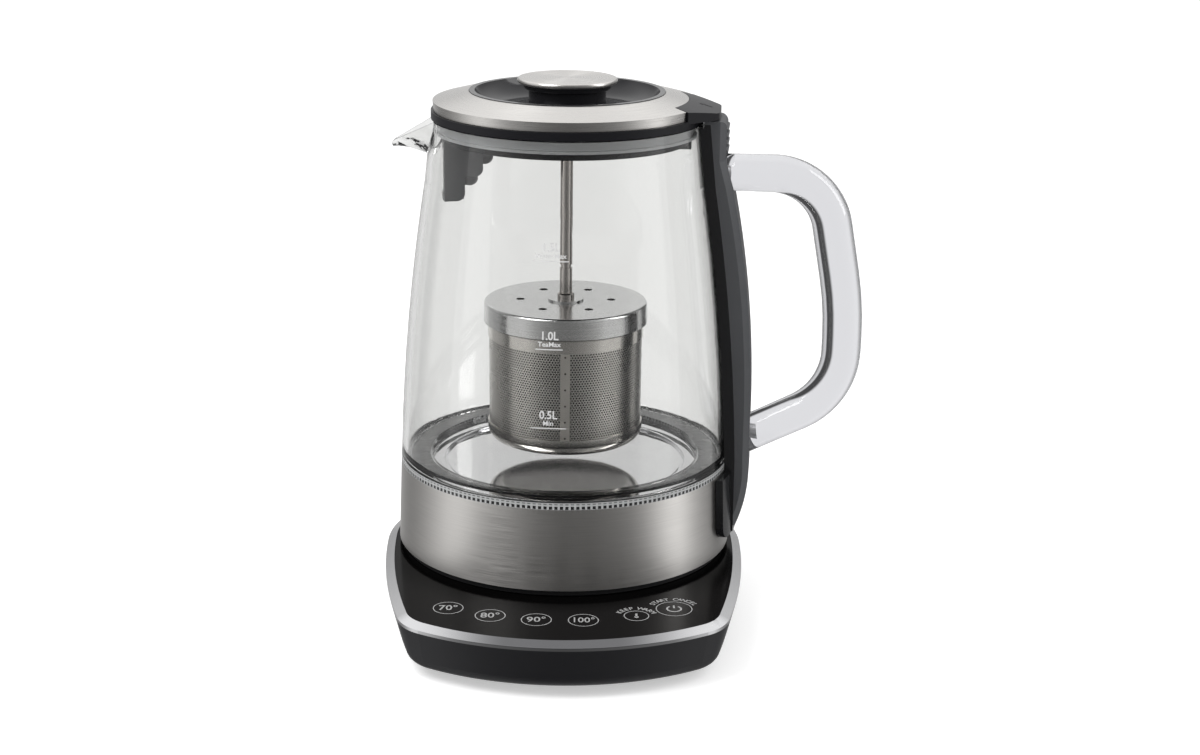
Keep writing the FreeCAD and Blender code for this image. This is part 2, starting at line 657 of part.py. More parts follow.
def control_board():
    board = Part.makeBox(2 * BOARD_HALF_WIDTH, BOARD_DEPTH, BOARD_THICKNESS,
                         Vector(-BOARD_HALF_WIDTH, BOARD_FRONT_Y, board_bottom()))
    outline = base_prism(HOUSING_WALL + TRIM_FACET_WIDTH, board_bottom(), board_bottom() + BOARD_THICKNESS)
    board = board.common(outline)
    for x, y in board_corners():
        place = Vector(x, y, board_bottom())
        board = board.cut(Part.makeCylinder(SCREW_SHANK_RADIUS, BOARD_THICKNESS, place))
    return board


def touch_springs():
    """One short contact coil, drawn as a sleeve, under each touch field."""
    bottom = board_bottom() + BOARD_THICKNESS
    springs = []
    for angle in TOUCH_ANGLES:
        spring = ring(TOUCH_SPRING_RADIUS, TOUCH_SPRING_RADIUS - TOUCH_SPRING_WIRE, bottom,
                      PANEL_TOP - PANEL_THICKNESS)
        spring.translate(on_circle(TOUCH_CIRCLE, angle))
        springs.append(spring)
    return Part.makeCompound(springs)


def board_screws():
    top = board_bottom() + BOARD_THICKNESS
    screws = []
    for x, y in board_corners():
        shank = Part.makeCylinder(SCREW_SHANK_RADIUS, SCREW_LENGTH, Vector(x, y, top - SCREW_LENGTH))
        head = Part.makeCylinder(SCREW_HEAD_RADIUS, SCREW_HEAD_HEIGHT, Vector(x, y, top))
        screws.append(shank.fuse(head))
    return Part.makeCompound(screws)


def gland_y():
    """The inside of the leaning back wall at the cord inlet's height."""
    return BASE_HALF_WIDTH - HOUSING_WALL - HOUSING_TAPER * GLAND_DROP / HOUSING_HEIGHT


def cord_gland():
    back = Vector(0, 1, 0)
    start = Vector(0, gland_y() - GLAND_FLANGE - GLAND_SETBACK, GLAND_Z)
    flange = Part.makeCylinder(GLAND_RADIUS + GLAND_FLANGE_OVERHANG, GLAND_FLANGE, start, back)
    sleeve = Part.makeCylinder(GLAND_RADIUS, GLAND_LENGTH, start, back)
    bore = Part.makeCylinder(GLAND_BORE, GLAND_LENGTH, start, back)
    return flange.fuse(sleeve).cut(bore).common(tapered_tray(0, FOOT_HEIGHT, UNDERSIDE_ROUND))


# ---- kettle foot, band and heater ----
def bottom_cover():
    """The black underside: a foot ring that stands on the panel and a floor with a socket hole."""
    foot_bottom = PANEL_TOP + REST_GAP
    inner_wall = BAND_BOTTOM_RADIUS - BAND_WALL
    foot = ring(FOOT_RING_OUTER, FOOT_RING_INNER, foot_bottom, BAND_BOTTOM_Z)
    hole = SOCKET_RADIUS + SOCKET_CLEARANCE
    floor = ring(inner_wall - INNER_FIT, hole, BAND_BOTTOM_Z, BAND_BOTTOM_Z + COVER_THICKNESS)
    return foot.fuse(floor).removeSplitter()


def power_socket():
    """The kettle's round socket, which drops over the dock's hub and pin."""
    floor_top = BAND_BOTTOM_Z + COVER_THICKNESS + REST_GAP
    body = ring(SOCKET_RADIUS, 0, BAND_BOTTOM_Z, SOCKET_TOP)
    flange = ring(SOCKET_RADIUS + SOCKET_FLANGE, 0, floor_top, floor_top + SOCKET_FLANGE_THICKNESS)
    shape = body.fuse(flange)
    plugs = ((CONNECTOR_HUB_RADIUS, CONNECTOR_HUB_TOP), (CONNECTOR_PIN_RADIUS, CONNECTOR_PIN_TOP))
    for radius, top in plugs:
        shape = shape.cut(ring(radius + SOCKET_CLEARANCE, 0, BAND_BOTTOM_Z, top + SOCKET_HEADROOM))
    return shape


def band_radius(z):
    """Outer radius of the steel band at height z."""
    share = (z - BAND_BOTTOM_Z) / (BAND_TOP_Z - BAND_BOTTOM_Z)
    return BAND_BOTTOM_RADIUS + (BAND_TOP_RADIUS - BAND_BOTTOM_RADIUS) * share


def steel_band():
    return revolved_points([
        (BAND_BOTTOM_RADIUS, BAND_BOTTOM_Z), (BAND_TOP_RADIUS, BAND_TOP_Z),
        (BAND_TOP_RADIUS - BAND_WALL, BAND_TOP_Z), (BAND_BOTTOM_RADIUS - BAND_WALL, BAND_BOTTOM_Z),
    ])


def heating_plate():
    """A pressed steel disc with a raised rim round the water floor and a groove in it."""
    under = PLATE_TOP_Z - PLATE_THICKNESS
    edge = BAND_TOP_RADIUS - BAND_WALL - INNER_FIT
    rim_top = PLATE_TOP_Z + PLATE_RIM_RISE
    disc = ring(edge, 0, under, PLATE_TOP_Z)
    rim = ring(PLATE_RIM_OUTER, PLATE_RIM_INNER, PLATE_TOP_Z, rim_top)
    rim = rim.makeFillet(PLATE_RIM_ROUND, edges_at(rim, rim_top))
    groove = ring(PLATE_RIM_INNER, PLATE_RIM_INNER - PLATE_GROOVE_WIDTH, PLATE_TOP_Z - PLATE_GROOVE_DEPTH,
                  PLATE_TOP_Z)
    return disc.fuse(rim).cut(groove)


def heating_element():
    """A sheathed heating loop under the plate, with two terminals that point down."""
    z = PLATE_TOP_Z - PLATE_THICKNESS - ELEMENT_TUBE
    sweep = 360 - ELEMENT_GAP_ANGLE
    loop = Part.makeTorus(ELEMENT_RADIUS, ELEMENT_TUBE, Vector(0, 0, z), UP, -180, 180, sweep)
    loop.rotate(ORIGIN, UP, ELEMENT_GAP_ANGLE / 2)
    for side in (-1, 1):
        angle = side * (ELEMENT_GAP_ANGLE / 2 + TERMINAL_SETBACK_ANGLE)
        place = on_circle(ELEMENT_RADIUS, angle, z - TERMINAL_LENGTH)
        loop = loop.fuse(Part.makeCylinder(TERMINAL_RADIUS, TERMINAL_LENGTH, place))
    return loop


def thermostat():
    under = PLATE_TOP_Z - PLATE_THICKNESS
    body = ring(THERMOSTAT_RADIUS, 0, under - THERMOSTAT_HEIGHT, under)
    for x in (-BLADE_SPREAD, BLADE_SPREAD):
        corner = Vector(x - BLADE_THICKNESS / 2, -BLADE_WIDTH / 2, under - THERMOSTAT_HEIGHT - BLADE_LENGTH)
        body = body.fuse(Part.makeBox(BLADE_THICKNESS, BLADE_WIDTH, BLADE_LENGTH, corner))
    return body


def plate_seal():
    """The flat silicone ring between the plate and the jug's glass floor."""
    outer = GLASS_FOOT_RADIUS - GLASS_FOOT_STEP - INNER_FIT
    return ring(outer, PLATE_RIM_OUTER + SEAL_SETBACK, PLATE_TOP_Z, PLATE_TOP_Z + SEAL_THICKNESS)


def glass_foot_z():
    return PLATE_TOP_Z + SEAL_THICKNESS


def junction_ring():
    """The clear grip ring between the glass and the steel band."""
    inner = GLASS_LOW[0] - GLASS_FOOT_STEP
    return ring(BAND_TOP_RADIUS, inner, BAND_TOP_Z, BAND_TOP_Z + JUNCTION_HEIGHT)


# ---- glass jug ----
def spout_loft(shrink, lift):
    """The beak: a loft of ellipses from inside the wall out to the lip."""
    wires = []
    for out, half_width, rise, half_height in SPOUT_SECTIONS:
        circle = Part.makeCircle(1.0, ORIGIN, Vector(-1, 0, 0))
        stretch = FreeCAD.Matrix()
        stretch.scale(1.0, half_width - shrink, half_height - shrink)
        section = circle.transformGeometry(stretch)
        section.translate(Vector(-RIM_RADIUS - out, 0, RIM_Z + rise + lift))
        wires.append(Part.Wire(section.Edges))
    return Part.makeLoft(wires, True)


def above_lip():
    """Everything above the rim: flat over the body and falling to the lip along the beak."""
    far = 2 * SPOUT_REACH
    start = (RIM_RADIUS - SPOUT_FALL_START, RIM_Z)
    fall = (RIM_Z - SPOUT_LIP_Z) / (SPOUT_REACH - start[0])
    low = RIM_Z - fall * (far - start[0])
    corners = [Vector(far, 0, RIM_Z), Vector(-start[0], 0, RIM_Z), Vector(-far, 0, low),
               Vector(-far, 0, 2 * RIM_Z), Vector(far, 0, 2 * RIM_Z)]
    face = Part.Face(Part.makePolygon(corners + corners[:1]))
    block = face.extrude(Vector(0, 2 * far, 0))
    block.translate(Vector(0, -far, 0))
    return block


def glass_jug():
    foot = glass_foot_z()
    outer = glass_offset(0, BAND_TOP_Z + JUNCTION_HEIGHT, RIM_Z)
    step = ring(GLASS_LOW[0] - GLASS_FOOT_STEP, 0, foot, BAND_TOP_Z + JUNCTION_HEIGHT)
    outer = outer.fuse(step)
    inner = glass_offset(-GLASS_WALL, foot + GLASS_FLOOR, RIM_Z)
    inner = inner.makeFillet(GLASS_FLOOR_ROUND, edges_at(inner, foot + GLASS_FLOOR))
    beak = spout_loft(0, 0)
    beak_inner = spout_loft(GLASS_WALL * SPOUT_BORE_SHARE, GLASS_WALL * SPOUT_BORE_LIFT)
    jug = outer.fuse(beak).cut(inner).cut(beak_inner)
    jug = jug.cut(above_lip())
    jug = jug.cut(ring(GLASS_FLOOR_BORE, 0, foot, foot + GLASS_FLOOR))
    return max(jug.Solids, key=lambda s: s.Volume)


# ---- spine and handle ----
def spine_layer(inner_offset, outer_offset, bottom, top):
    """A strip that follows the jug's wall, between two distances from it."""
    layer = glass_offset(outer_offset, bottom, top).cut(glass_offset(inner_offset, bottom, top))
    return layer.common(slab(SPINE_HALF_WIDTH, 0, 2 * GLASS_LOW[0], bottom, top))


def spine_foot_z():
    """Where the spine's strip ends and its foot on the steel band starts."""
    return BAND_TOP_Z + JUNCTION_HEIGHT


def spine_gasket():
    return spine_layer(REST_GAP / 2, GASKET_DEPTH, spine_foot_z(), SPINE_TOP_Z - SPINE_TOP_ROUND)


def band_shell(gap, thickness, bottom, top):
    """A shell that follows the steel band's taper, a gap away from it."""
    low = band_radius(bottom) + gap
    high = band_radius(top) + gap
    return revolved_points([(low, bottom), (low + thickness, bottom), (high + thickness, top), (high, top)])


def spine_foot_pad():
    """The shoe that wraps the steel band, with round lower corners."""
    shell = band_shell(REST_GAP / 2, PAD_THICKNESS, PAD_BOTTOM_Z, PAD_TOP_Z)
    shoe = slab(PAD_HALF_WIDTH, 0, 2 * BAND_BOTTOM_RADIUS, PAD_BOTTOM_Z, PAD_TOP_Z)
    long_edges = [e for e in edges_at(shoe, PAD_BOTTOM_Z) if e.BoundBox.XLength > BAND_BOTTOM_RADIUS]
    return shell.common(shoe.makeFillet(PAD_ROUND, long_edges))


def spine_body():
    strip_top = SPINE_TOP_Z - SPINE_TOP_ROUND / 2
    strip = spine_layer(GASKET_DEPTH, spine_depth(), spine_foot_z(), strip_top)
    foot = ring(GLASS_LOW[0] + spine_depth(), BAND_TOP_RADIUS, PAD_BOTTOM_Z, spine_foot_z())
    foot = foot.common(slab(SPINE_HALF_WIDTH, 0, 2 * GLASS_LOW[0], PAD_BOTTOM_Z, spine_foot_z()))
    foot = foot.cut(band_shell(-PAD_THICKNESS, PAD_THICKNESS + REST_GAP / 2, PAD_BOTTOM_Z, spine_foot_z()))
    body = strip.fuse(foot).fuse(spine_foot_pad())
    for head, shank in stud_shapes():
        body = body.cut(head).cut(shank)
    return body.removeSplitter()


def spine_depth():
    """How far the black strip stands out from the glass."""
    return GASKET_DEPTH + SPINE_BODY_DEPTH


def cover_blank():
    """The matt cover's side outline, extruded across the spine."""
    top = (SPINE_OUTER_TOP[0], SPINE_TOP_Z)
    inner_top = (glass_radius(SPINE_TOP_Z), SPINE_TOP_Z)
    inner_bottom = (BAND_BOTTOM_RADIUS, SPINE_TAPER_END[1])
    wire = Part.Wire([
        line(inner_bottom, SPINE_TAPER_END),
        arc(SPINE_TAPER_END, SPINE_TAPER_MID, SPINE_OUTER_KNEE),
        line(SPINE_OUTER_KNEE, SPINE_OUTER_LOWER),
        arc(SPINE_OUTER_LOWER, SPINE_OUTER_MID, SPINE_OUTER_UPPER),
        line(SPINE_OUTER_UPPER, SPINE_OUTER_TOP),
        line(SPINE_OUTER_TOP, top),
        line(top, inner_top),
        line(inner_top, inner_bottom),
    ])
    blank = Part.Face(wire).extrude(Vector(0, 2 * SPINE_HALF_WIDTH, 0))
    blank.translate(Vector(0, -SPINE_HALF_WIDTH, 0))
    return blank


def spine_cover():
    blank = cover_blank()
    outer_edges = []
    for edge in blank.Edges:
        box = edge.BoundBox
        on_side = abs(abs(box.Center.y) - SPINE_HALF_WIDTH) < 1e-6 and box.YLength < 1e-6
        middle = edge.valueAt((edge.FirstParameter + edge.LastParameter) / 2)
        if on_side and middle.x > SPINE_OUTER_TOP[0] - 1.0 and box.ZLength > SPINE_TOP_ROUND:
            outer_edges.append(edge)
    blank = blank.makeChamfer(SPINE_CHAMFER, outer_edges)
    top_edges = [e for e in edges_at(blank, SPINE_TOP_Z) if e.BoundBox.XMin > SPINE_OUTER_TOP[0] - 1e-3]
    blank = blank.makeFillet(SPINE_TOP_ROUND, top_edges)
    seat_top = SPINE_TOP_Z - SPINE_TOP_ROUND / 2
    seat = glass_offset(spine_depth(), PAD_BOTTOM_Z - 1.0, seat_top)
    neck = ring(RIM_RADIUS + GASKET_DEPTH, 0, seat_top, SPINE_TOP_Z)
    cover = blank.cut(seat).cut(neck)
    ridge_run = Vector(0, 2 * (SPINE_HALF_WIDTH - SPINE_CHAMFER), 0)
    for index in range(GRIP_RIDGES):
        z = GRIP_RIDGE_TOP - index * GRIP_RIDGE_PITCH
        start = Vector(SPINE_OUTER_TOP[0], -ridge_run.y / 2, z)
        cover = cover.fuse(rod_between(start, start + ridge_run, GRIP_RIDGE_RADIUS))
    for head, shank in stud_shapes():
        cover = cover.cut(shank)
    return cover


def lower_root():
    """Where the handle's lower run meets the cover's outer face."""
    corner = flat(HANDLE_LOWER_CORNER)
    low = flat(HANDLE_LOWER_END)
    run = corner - low
    return low + run * ((SPINE_OUTER_KNEE[0] - low.x) / run.x)


def stud_shapes():
    """The head and shank of each handle stud, both level and along the handle plane."""
    shapes = []
    for seat in (Vector(SPINE_OUTER_TOP[0], 0, HANDLE_TOP_Z), lower_root()):
        head_start = Vector(glass_radius(seat.z) + GASKET_DEPTH, 0, seat.z)
        head_end = head_start + Vector(STUD_HEAD_HEIGHT, 0, 0)
        head = rod_between(head_start, head_end, STUD_HEAD_RADIUS)
        shank = rod_between(head_end, seat + Vector(STUD_REACH, 0, 0), STUD_RADIUS)
        shapes.append((head, shank))
    return shapes


def handle():
    """The clear solid bar, bent to a C, cut to sit on the cover's outer face."""
    points = [(SPINE_OUTER_TOP[0] - HANDLE_RADIUS, HANDLE_TOP_Z), HANDLE_UPPER_CORNER, HANDLE_BOW,
              HANDLE_LOWER_CORNER, HANDLE_LOWER_END]
    path = rounded_path(points, (HANDLE_UPPER_ROUND, HANDLE_BOW_ROUND, HANDLE_LOWER_ROUND))
    profile = Part.Wire(Part.makeCircle(HANDLE_RADIUS, flat(points[0]), Vector(1, 0, 0)))
    bar = path.makePipeShell([profile], True, False)
    bar = bar.cut(cover_blank())
    for head, shank in stud_shapes():
        bar = bar.cut(shank)
    return max(bar.Solids, key=lambda s: s.Volume)


def handle_studs():
    wall = glass_offset(GASKET_DEPTH, PAD_BOTTOM_Z, RIM_Z)
    return Part.makeCompound([head.fuse(shank).cut(wall) for head, shank in stud_shapes()])


# ---- lid ----
def tab_outline(bottom, top):
    """The tab's plan: a shield that breaks the steel ring and narrows to a round nose over the spine."""
    inner, outer = [on_circle(r, TAB_HALF_ANGLE, bottom) for r in (TAB_SEAT_RADIUS / 2, LID_BAND_RADIUS)]
    half = [inner, outer, Vector(TAB_REACH, TAB_HALF_WIDTH, bottom)]
    corners = half + [Vector(p.x, -p.y, p.z) for p in reversed(half)]
    shield = Part.Face(Part.makePolygon(corners + corners[:1])).extrude(Vector(0, 0, top - bottom))
    nose = [e for e in upright_edges(shield, top - bottom) if e.BoundBox.XMin > TAB_REACH - 1e-3]
    return shield.makeFillet(TAB_ROUND, nose).cut(ring(TAB_SEAT_RADIUS, 0, bottom, top))


def cone_z(radius):
    """Height of the steel ring's top face at a radius, also beyond its edge."""
    slope = (RING_INNER_Z - RING_CREASE_Z) / (RING_RADIUS - RING_INNER_RADIUS)
    return RING_CREASE_Z + (RING_RADIUS - radius) * slope


def lid_body():
    """The black moulding: outer band, core, plug skirt, floor, tab and the lug inside the neck."""
    core = RING_RADIUS - RING_THICKNESS - PANEL_GAP
    under_ring = RING_CREASE_Z - RING_THICKNESS - PANEL_GAP
    bowl_seat = RING_INNER_RADIUS
    floor_top = LID_FLOOR_Z + LID_FLOOR_THICKNESS
    shape = revolved_points([
        (LID_BAND_RADIUS, LID_BAND_Z), (LID_BAND_RADIUS, RING_BOTTOM_Z - PANEL_GAP),
        (core, RING_BOTTOM_Z - PANEL_GAP), (core, under_ring),
        (bowl_seat + PANEL_GAP, cone_z(bowl_seat) - RING_THICKNESS - PANEL_GAP),
        (bowl_seat + PANEL_GAP, floor_top), (GUIDE_RADIUS, floor_top),
        (GUIDE_RADIUS, LID_FLOOR_Z), (PLUG_RADIUS - PLUG_WALL, LID_FLOOR_Z),
        (PLUG_RADIUS - PLUG_WALL, PLUG_BOTTOM_Z), (PLUG_RADIUS, PLUG_BOTTOM_Z),
        (PLUG_RADIUS, LID_BAND_Z),
    ])
    tab = tab_outline(SPINE_TOP_Z + TAB_LIFT, cone_z(TAB_SEAT_RADIUS) + TAB_CROWN)
    far = 2 * TAB_REACH
    slope_cut = revolved_points([
        (0, cone_z(0) + TAB_CROWN), (far, cone_z(far) + TAB_CROWN),
        (far, 2 * KNOB_TOP_Z), (0, 2 * KNOB_TOP_Z),
    ])
    tab = tab.cut(slope_cut)
    lug = ring(PLUG_RADIUS + PLUG_WALL / 2, PLUG_RADIUS - PLUG_WALL - LOBE_DEPTH, LOBE_BOTTOM_Z, LID_FLOOR_Z)
    lug = lug.common(slab(LOBE_HALF_WIDTH, 0, far, LOBE_BOTTOM_Z, LID_FLOOR_Z))
    lower = [e for e in edges_at(lug, LOBE_BOTTOM_Z) if e.BoundBox.YLength > LOBE_HALF_WIDTH]
    lug = lug.makeFillet(LOBE_DEPTH / 2, lower)
    return shape.fuse(tab).fuse(lug).removeSplitter()


def lid_steel_ring():
    """The brushed cone and its short upright band, broken where the tab passes."""
    t = RING_THICKNESS
    shell = revolved_points([
        (RING_INNER_RADIUS, RING_INNER_Z), (RING_RADIUS, RING_CREASE_Z),
        (RING_RADIUS - RING_DRAFT, RING_BOTTOM_Z), (RING_RADIUS - t, RING_BOTTOM_Z),
        (RING_RADIUS - t, RING_CREASE_Z - t), (RING_INNER_RADIUS, RING_INNER_Z - t),
    ])
    gap_angle = TAB_HALF_ANGLE + TAB_NOTCH_GAP_ANGLE
    notch = sector(2 * RING_RADIUS, gap_angle, RING_BOTTOM_Z - t, RING_INNER_Z + t)
    notch = notch.cut(ring(TAB_SEAT_RADIUS - PANEL_GAP, 0, RING_BOTTOM_Z - t, RING_INNER_Z + t))
    return shell.cut(notch)


def lid_bowl():
    """The glossy hollow round the knob: a thin rim, a concave wall and a flat floor."""
    rim = RING_INNER_RADIUS - PANEL_GAP
    lip = rim - BOWL_RIM_WIDTH
    top = RING_INNER_Z + BOWL_RIM_RISE
    floor = BOWL_FLOOR_Z
    shell = BOWL_SHELL
    middle = (lip - BOWL_CURVE_INSET, floor + BOWL_CURVE_RISE)
    base = LID_FLOOR_Z + LID_FLOOR_THICKNESS
    return revolved([
        line((rim, top), (lip, top)),
        arc((lip, top), middle, (BOWL_FLOOR_RADIUS, floor)),
        line((BOWL_FLOOR_RADIUS, floor), (GUIDE_RADIUS, floor)),
        line((GUIDE_RADIUS, floor), (GUIDE_RADIUS, floor - shell)),
        line((GUIDE_RADIUS, floor - shell), (rim - shell, floor - shell)),
        line((rim - shell, floor - shell), (rim - shell, base)),
        line((rim - shell, base), (rim, base)),
        line((rim, base), (rim, top)),
    ])


def lid_seal():
    """The grey lip ring that closes the gap between the plug and the neck."""
    top = SEAL_Z + SEAL_HEIGHT
    shape = ring(SEAL_RADIUS, PLUG_RADIUS, SEAL_Z, top)
    shape = shape.cut(ring(SEAL_RADIUS, SEAL_RADIUS - SEAL_LIP, SEAL_Z + SEAL_LIP, top - SEAL_LIP))
    lug = slab(LOBE_HALF_WIDTH + PANEL_GAP, 0, 2 * SEAL_RADIUS, SEAL_Z, top)
    lug = lug.common(ring(PLUG_RADIUS + PLUG_WALL / 2 + PANEL_GAP, 0, SEAL_Z, top))
    return shape.cut(lug)


def rod_guide():
    """The bush that the rod slides in, with a side pocket for the detent."""
    bore = ROD_RADIUS + GUIDE_CLEARANCE
    bush = ring(GUIDE_RADIUS, bore, GUIDE_BOTTOM_Z, BOWL_FLOOR_Z)
    start = Vector(0, 0, DETENT_Z)
    end = Vector(GUIDE_RADIUS - DETENT_CAP, 0, DETENT_Z)
    return bush.cut(rod_between(start, end, DETENT_BALL_RADIUS + GUIDE_CLEARANCE))


def ball_centre():
    return ROD_RADIUS + GUIDE_CLEARANCE + DETENT_BALL_RADIUS


def detent_ball():
    return Part.makeSphere(DETENT_BALL_RADIUS, Vector(ball_centre(), 0, DETENT_Z))


def detent_spring():
    """The coil behind the ball, drawn as a short sleeve."""
    start = Vector(ball_centre() + DETENT_BALL_RADIUS, 0, DETENT_Z)
    end = Vector(GUIDE_RADIUS - DETENT_CAP, 0, DETENT_Z)
    sleeve = rod_between(start, end, DETENT_SPRING_RADIUS)
    return sleeve.cut(rod_between(start, end, DETENT_SPRING_RADIUS - DETENT_SPRING_WIRE))


def strainer_fin(side):
    """One stepped side wall of the strainer, standing inwards from the frame."""
    inner = STRAINER_RADIUS - STRAINER_WALL
    upper = inner - STRAINER_FIN_UPPER
    lower = inner - STRAINER_FIN_LOWER
    corners = [
        (STRAINER_RADIUS, PLUG_BOTTOM_Z), (upper, PLUG_BOTTOM_Z), (upper, STRAINER_FIN_STEP_Z),
        (lower, STRAINER_FIN_STEP_Z), (lower, STRAINER_BOTTOM_Z), (STRAINER_RADIUS, STRAINER_BOTTOM_Z),
    ]
    points = [Vector(-r, 0, z) for r, z in corners]
    fin = Part.Face(Part.makePolygon(points + points[:1])).extrude(Vector(0, STRAINER_WALL, 0))
    fin.translate(Vector(0, -STRAINER_WALL / 2, 0))
    rounds = []
    for edge in fin.Edges:
        box = edge.BoundBox
        at_step = abs(box.XMin + upper) < 1e-3 and abs(box.ZMax - STRAINER_FIN_STEP_Z) < 1e-3
        at_tip = abs(box.XMin + lower) < 1e-3 and abs(box.ZMax - STRAINER_BOTTOM_Z) < 1e-3
        if box.YLength > 1e-3 and (at_step or at_tip):
            rounds.append(edge)
    fin = fin.makeFillet(STRAINER_FIN_ROUND, rounds)
    return around(fin, side * (STRAINER_HALF_ANGLE - STRAINER_FIN_SETBACK_ANGLE))


def strainer_window():
    """The opening in the frame that the mesh fills."""
    half_angle = STRAINER_HALF_ANGLE - math.degrees(STRAINER_FRAME_MARGIN / STRAINER_RADIUS)
    bottom = STRAINER_BOTTOM_Z + STRAINER_FRAME_MARGIN
    return sector(2 * STRAINER_RADIUS, half_angle, bottom, PLUG_BOTTOM_Z - STRAINER_FRAME_MARGIN, 180)


def strainer_frame():
    inner = STRAINER_RADIUS - STRAINER_WALL
    wall = ring(STRAINER_RADIUS, inner, STRAINER_BOTTOM_Z, PLUG_BOTTOM_Z)
    slice_ = sector(2 * STRAINER_RADIUS, STRAINER_HALF_ANGLE, STRAINER_BOTTOM_Z, PLUG_BOTTOM_Z, 180)
    wall = wall.common(slice_).cut(strainer_window())
    return wall.fuse(strainer_fin(-1)).fuse(strainer_fin(1)).removeSplitter()


def strainer_mesh():
    middle = STRAINER_RADIUS - STRAINER_WALL / 2
    sheet = ring(middle + MESH_THICKNESS / 2, middle - MESH_THICKNESS / 2, STRAINER_BOTTOM_Z, PLUG_BOTTOM_Z)
    return sheet.common(strainer_window())


# ---- infuser ----
def knob_disc():
    disc = ring(KNOB_RADIUS, 0, KNOB_TOP_Z - KNOB_THICKNESS, KNOB_TOP_Z)
    rims = edges_at(disc, KNOB_TOP_Z) + edges_at(disc, KNOB_TOP_Z - KNOB_THICKNESS)
    return disc.makeFillet(KNOB_ROUND, rims)


def knob_rim_bottom():
    return KNOB_TOP_Z - KNOB_THICKNESS - KNOB_RIM_HEIGHT


def knob_rim():
    rim = ring(KNOB_RIM_RADIUS, STEM_RADIUS - STEM_WALL, knob_rim_bottom(), KNOB_TOP_Z - KNOB_THICKNESS)
    outer = [e for e in edges_at(rim, knob_rim_bottom()) if e.BoundBox.XMax > STEM_RADIUS + 1e-3]
    return rim.makeFillet(KNOB_ROUND, outer)


def knob_stem():
    """The knob's hollow skirt, with a floor that the rod is fixed in."""
    bottom = BOWL_FLOOR_Z + REST_GAP
    shape = ring(STEM_RADIUS, 0, bottom, knob_rim_bottom())
    hollow = ring(STEM_RADIUS - STEM_WALL, ROD_RADIUS + STEM_WALL, bottom + STEM_WALL, knob_rim_bottom())
    return shape.cut(hollow).cut(ring(ROD_RADIUS, 0, bottom, knob_rim_bottom()))


def rod():
    bottom = CAP_TOP_Z - CAP_WALL
    shape = ring(ROD_RADIUS, 0, bottom, knob_rim_bottom())
    half = GROOVE_WIDTH / 2
    return shape.cut(ring(ROD_RADIUS, ROD_RADIUS - GROOVE_DEPTH, GROOVE_Z - half, GROOVE_Z + half))


def cap_boss_top():
    return CAP_TOP_Z + CAP_BOSS_RISE


def rod_collar():
    top = cap_boss_top() + COLLAR_HEIGHT
    collar = ring(COLLAR_RADIUS, ROD_RADIUS, cap_boss_top(), top)
    rim = [e for e in edges_at(collar, top) if e.BoundBox.XMax > (COLLAR_RADIUS + ROD_RADIUS) / 2]
    return collar.makeChamfer((COLLAR_RADIUS - ROD_RADIUS) / 2, rim)


def basket_cap():
    """The pressed cap: steam holes on a circle, a raised boss and a slightly flared skirt."""
    outer = revolved([
        line((0, CAP_SKIRT_Z), (CAP_RADIUS + CAP_FLARE, CAP_SKIRT_Z)),
        line((CAP_RADIUS + CAP_FLARE, CAP_SKIRT_Z), (CAP_RADIUS, CAP_TOP_Z)),
        line((CAP_RADIUS, CAP_TOP_Z), (0, CAP_TOP_Z)),
        line((0, CAP_TOP_Z), (0, CAP_SKIRT_Z)),
    ])
    outer = outer.makeFillet(CAP_ROUND, edges_at(outer, CAP_TOP_Z))
    inner = ring(CAP_RADIUS - CAP_WALL, 0, CAP_SKIRT_Z, CAP_TOP_Z - CAP_WALL)
    cap = outer.cut(inner)
    cap = cap.fuse(ring(CAP_BOSS_RADIUS, 0, CAP_TOP_Z, cap_boss_top()))
    cap = cap.cut(ring(ROD_RADIUS, 0, CAP_SKIRT_Z, cap_boss_top()))
    for index in range(CAP_HOLES):
        place = on_circle(CAP_HOLE_CIRCLE, 360.0 * index / CAP_HOLES - KETTLE_TURN, CAP_SKIRT_Z)
        cap = cap.cut(Part.makeCylinder(CAP_HOLE_RADIUS, CAP_TOP_Z, place))
    return cap


# ---- basket ----
def basket_lip_z():
    return CAP_TOP_Z - CAP_WALL - BASKET_TOP_GAP


def basket_wall():
    outer = BASKET_RADIUS - BASKET_WALL
    return ring(outer, outer - BASKET_WALL, BASKET_BOTTOM_Z + BASKET_BOTTOM_ROUND, basket_lip_z())


def basket_top_band():
    """The solid band round the basket's mouth, with the bead that snaps into the cap."""
    band = ring(BASKET_RADIUS, BASKET_RADIUS - BASKET_WALL, BASKET_TOP_BAND_Z, basket_lip_z())
    bead = Part.makeTorus(BASKET_RADIUS, BASKET_BEAD_RADIUS, Vector(0, 0, BASKET_BEAD_Z))
    return band.fuse(bead.cut(ring(BASKET_RADIUS - BASKET_WALL / 2, 0, CAP_SKIRT_Z, CAP_TOP_Z)))


def basket_bottom():
    """The pressed floor cup with a rounded corner."""
    cup = ring(BASKET_RADIUS, 0, BASKET_BOTTOM_Z, BASKET_BOTTOM_BAND_Z)
    cup = cup.makeFillet(BASKET_BOTTOM_ROUND, edges_at(cup, BASKET_BOTTOM_Z))
    floor = BASKET_BOTTOM_Z + BASKET_WALL
    hollow = ring(BASKET_RADIUS - BASKET_WALL, 0, floor, BASKET_BOTTOM_BAND_Z)
    hollow = hollow.makeFillet(BASKET_BOTTOM_ROUND - BASKET_WALL, edges_at(hollow, floor))
    return cup.cut(hollow)


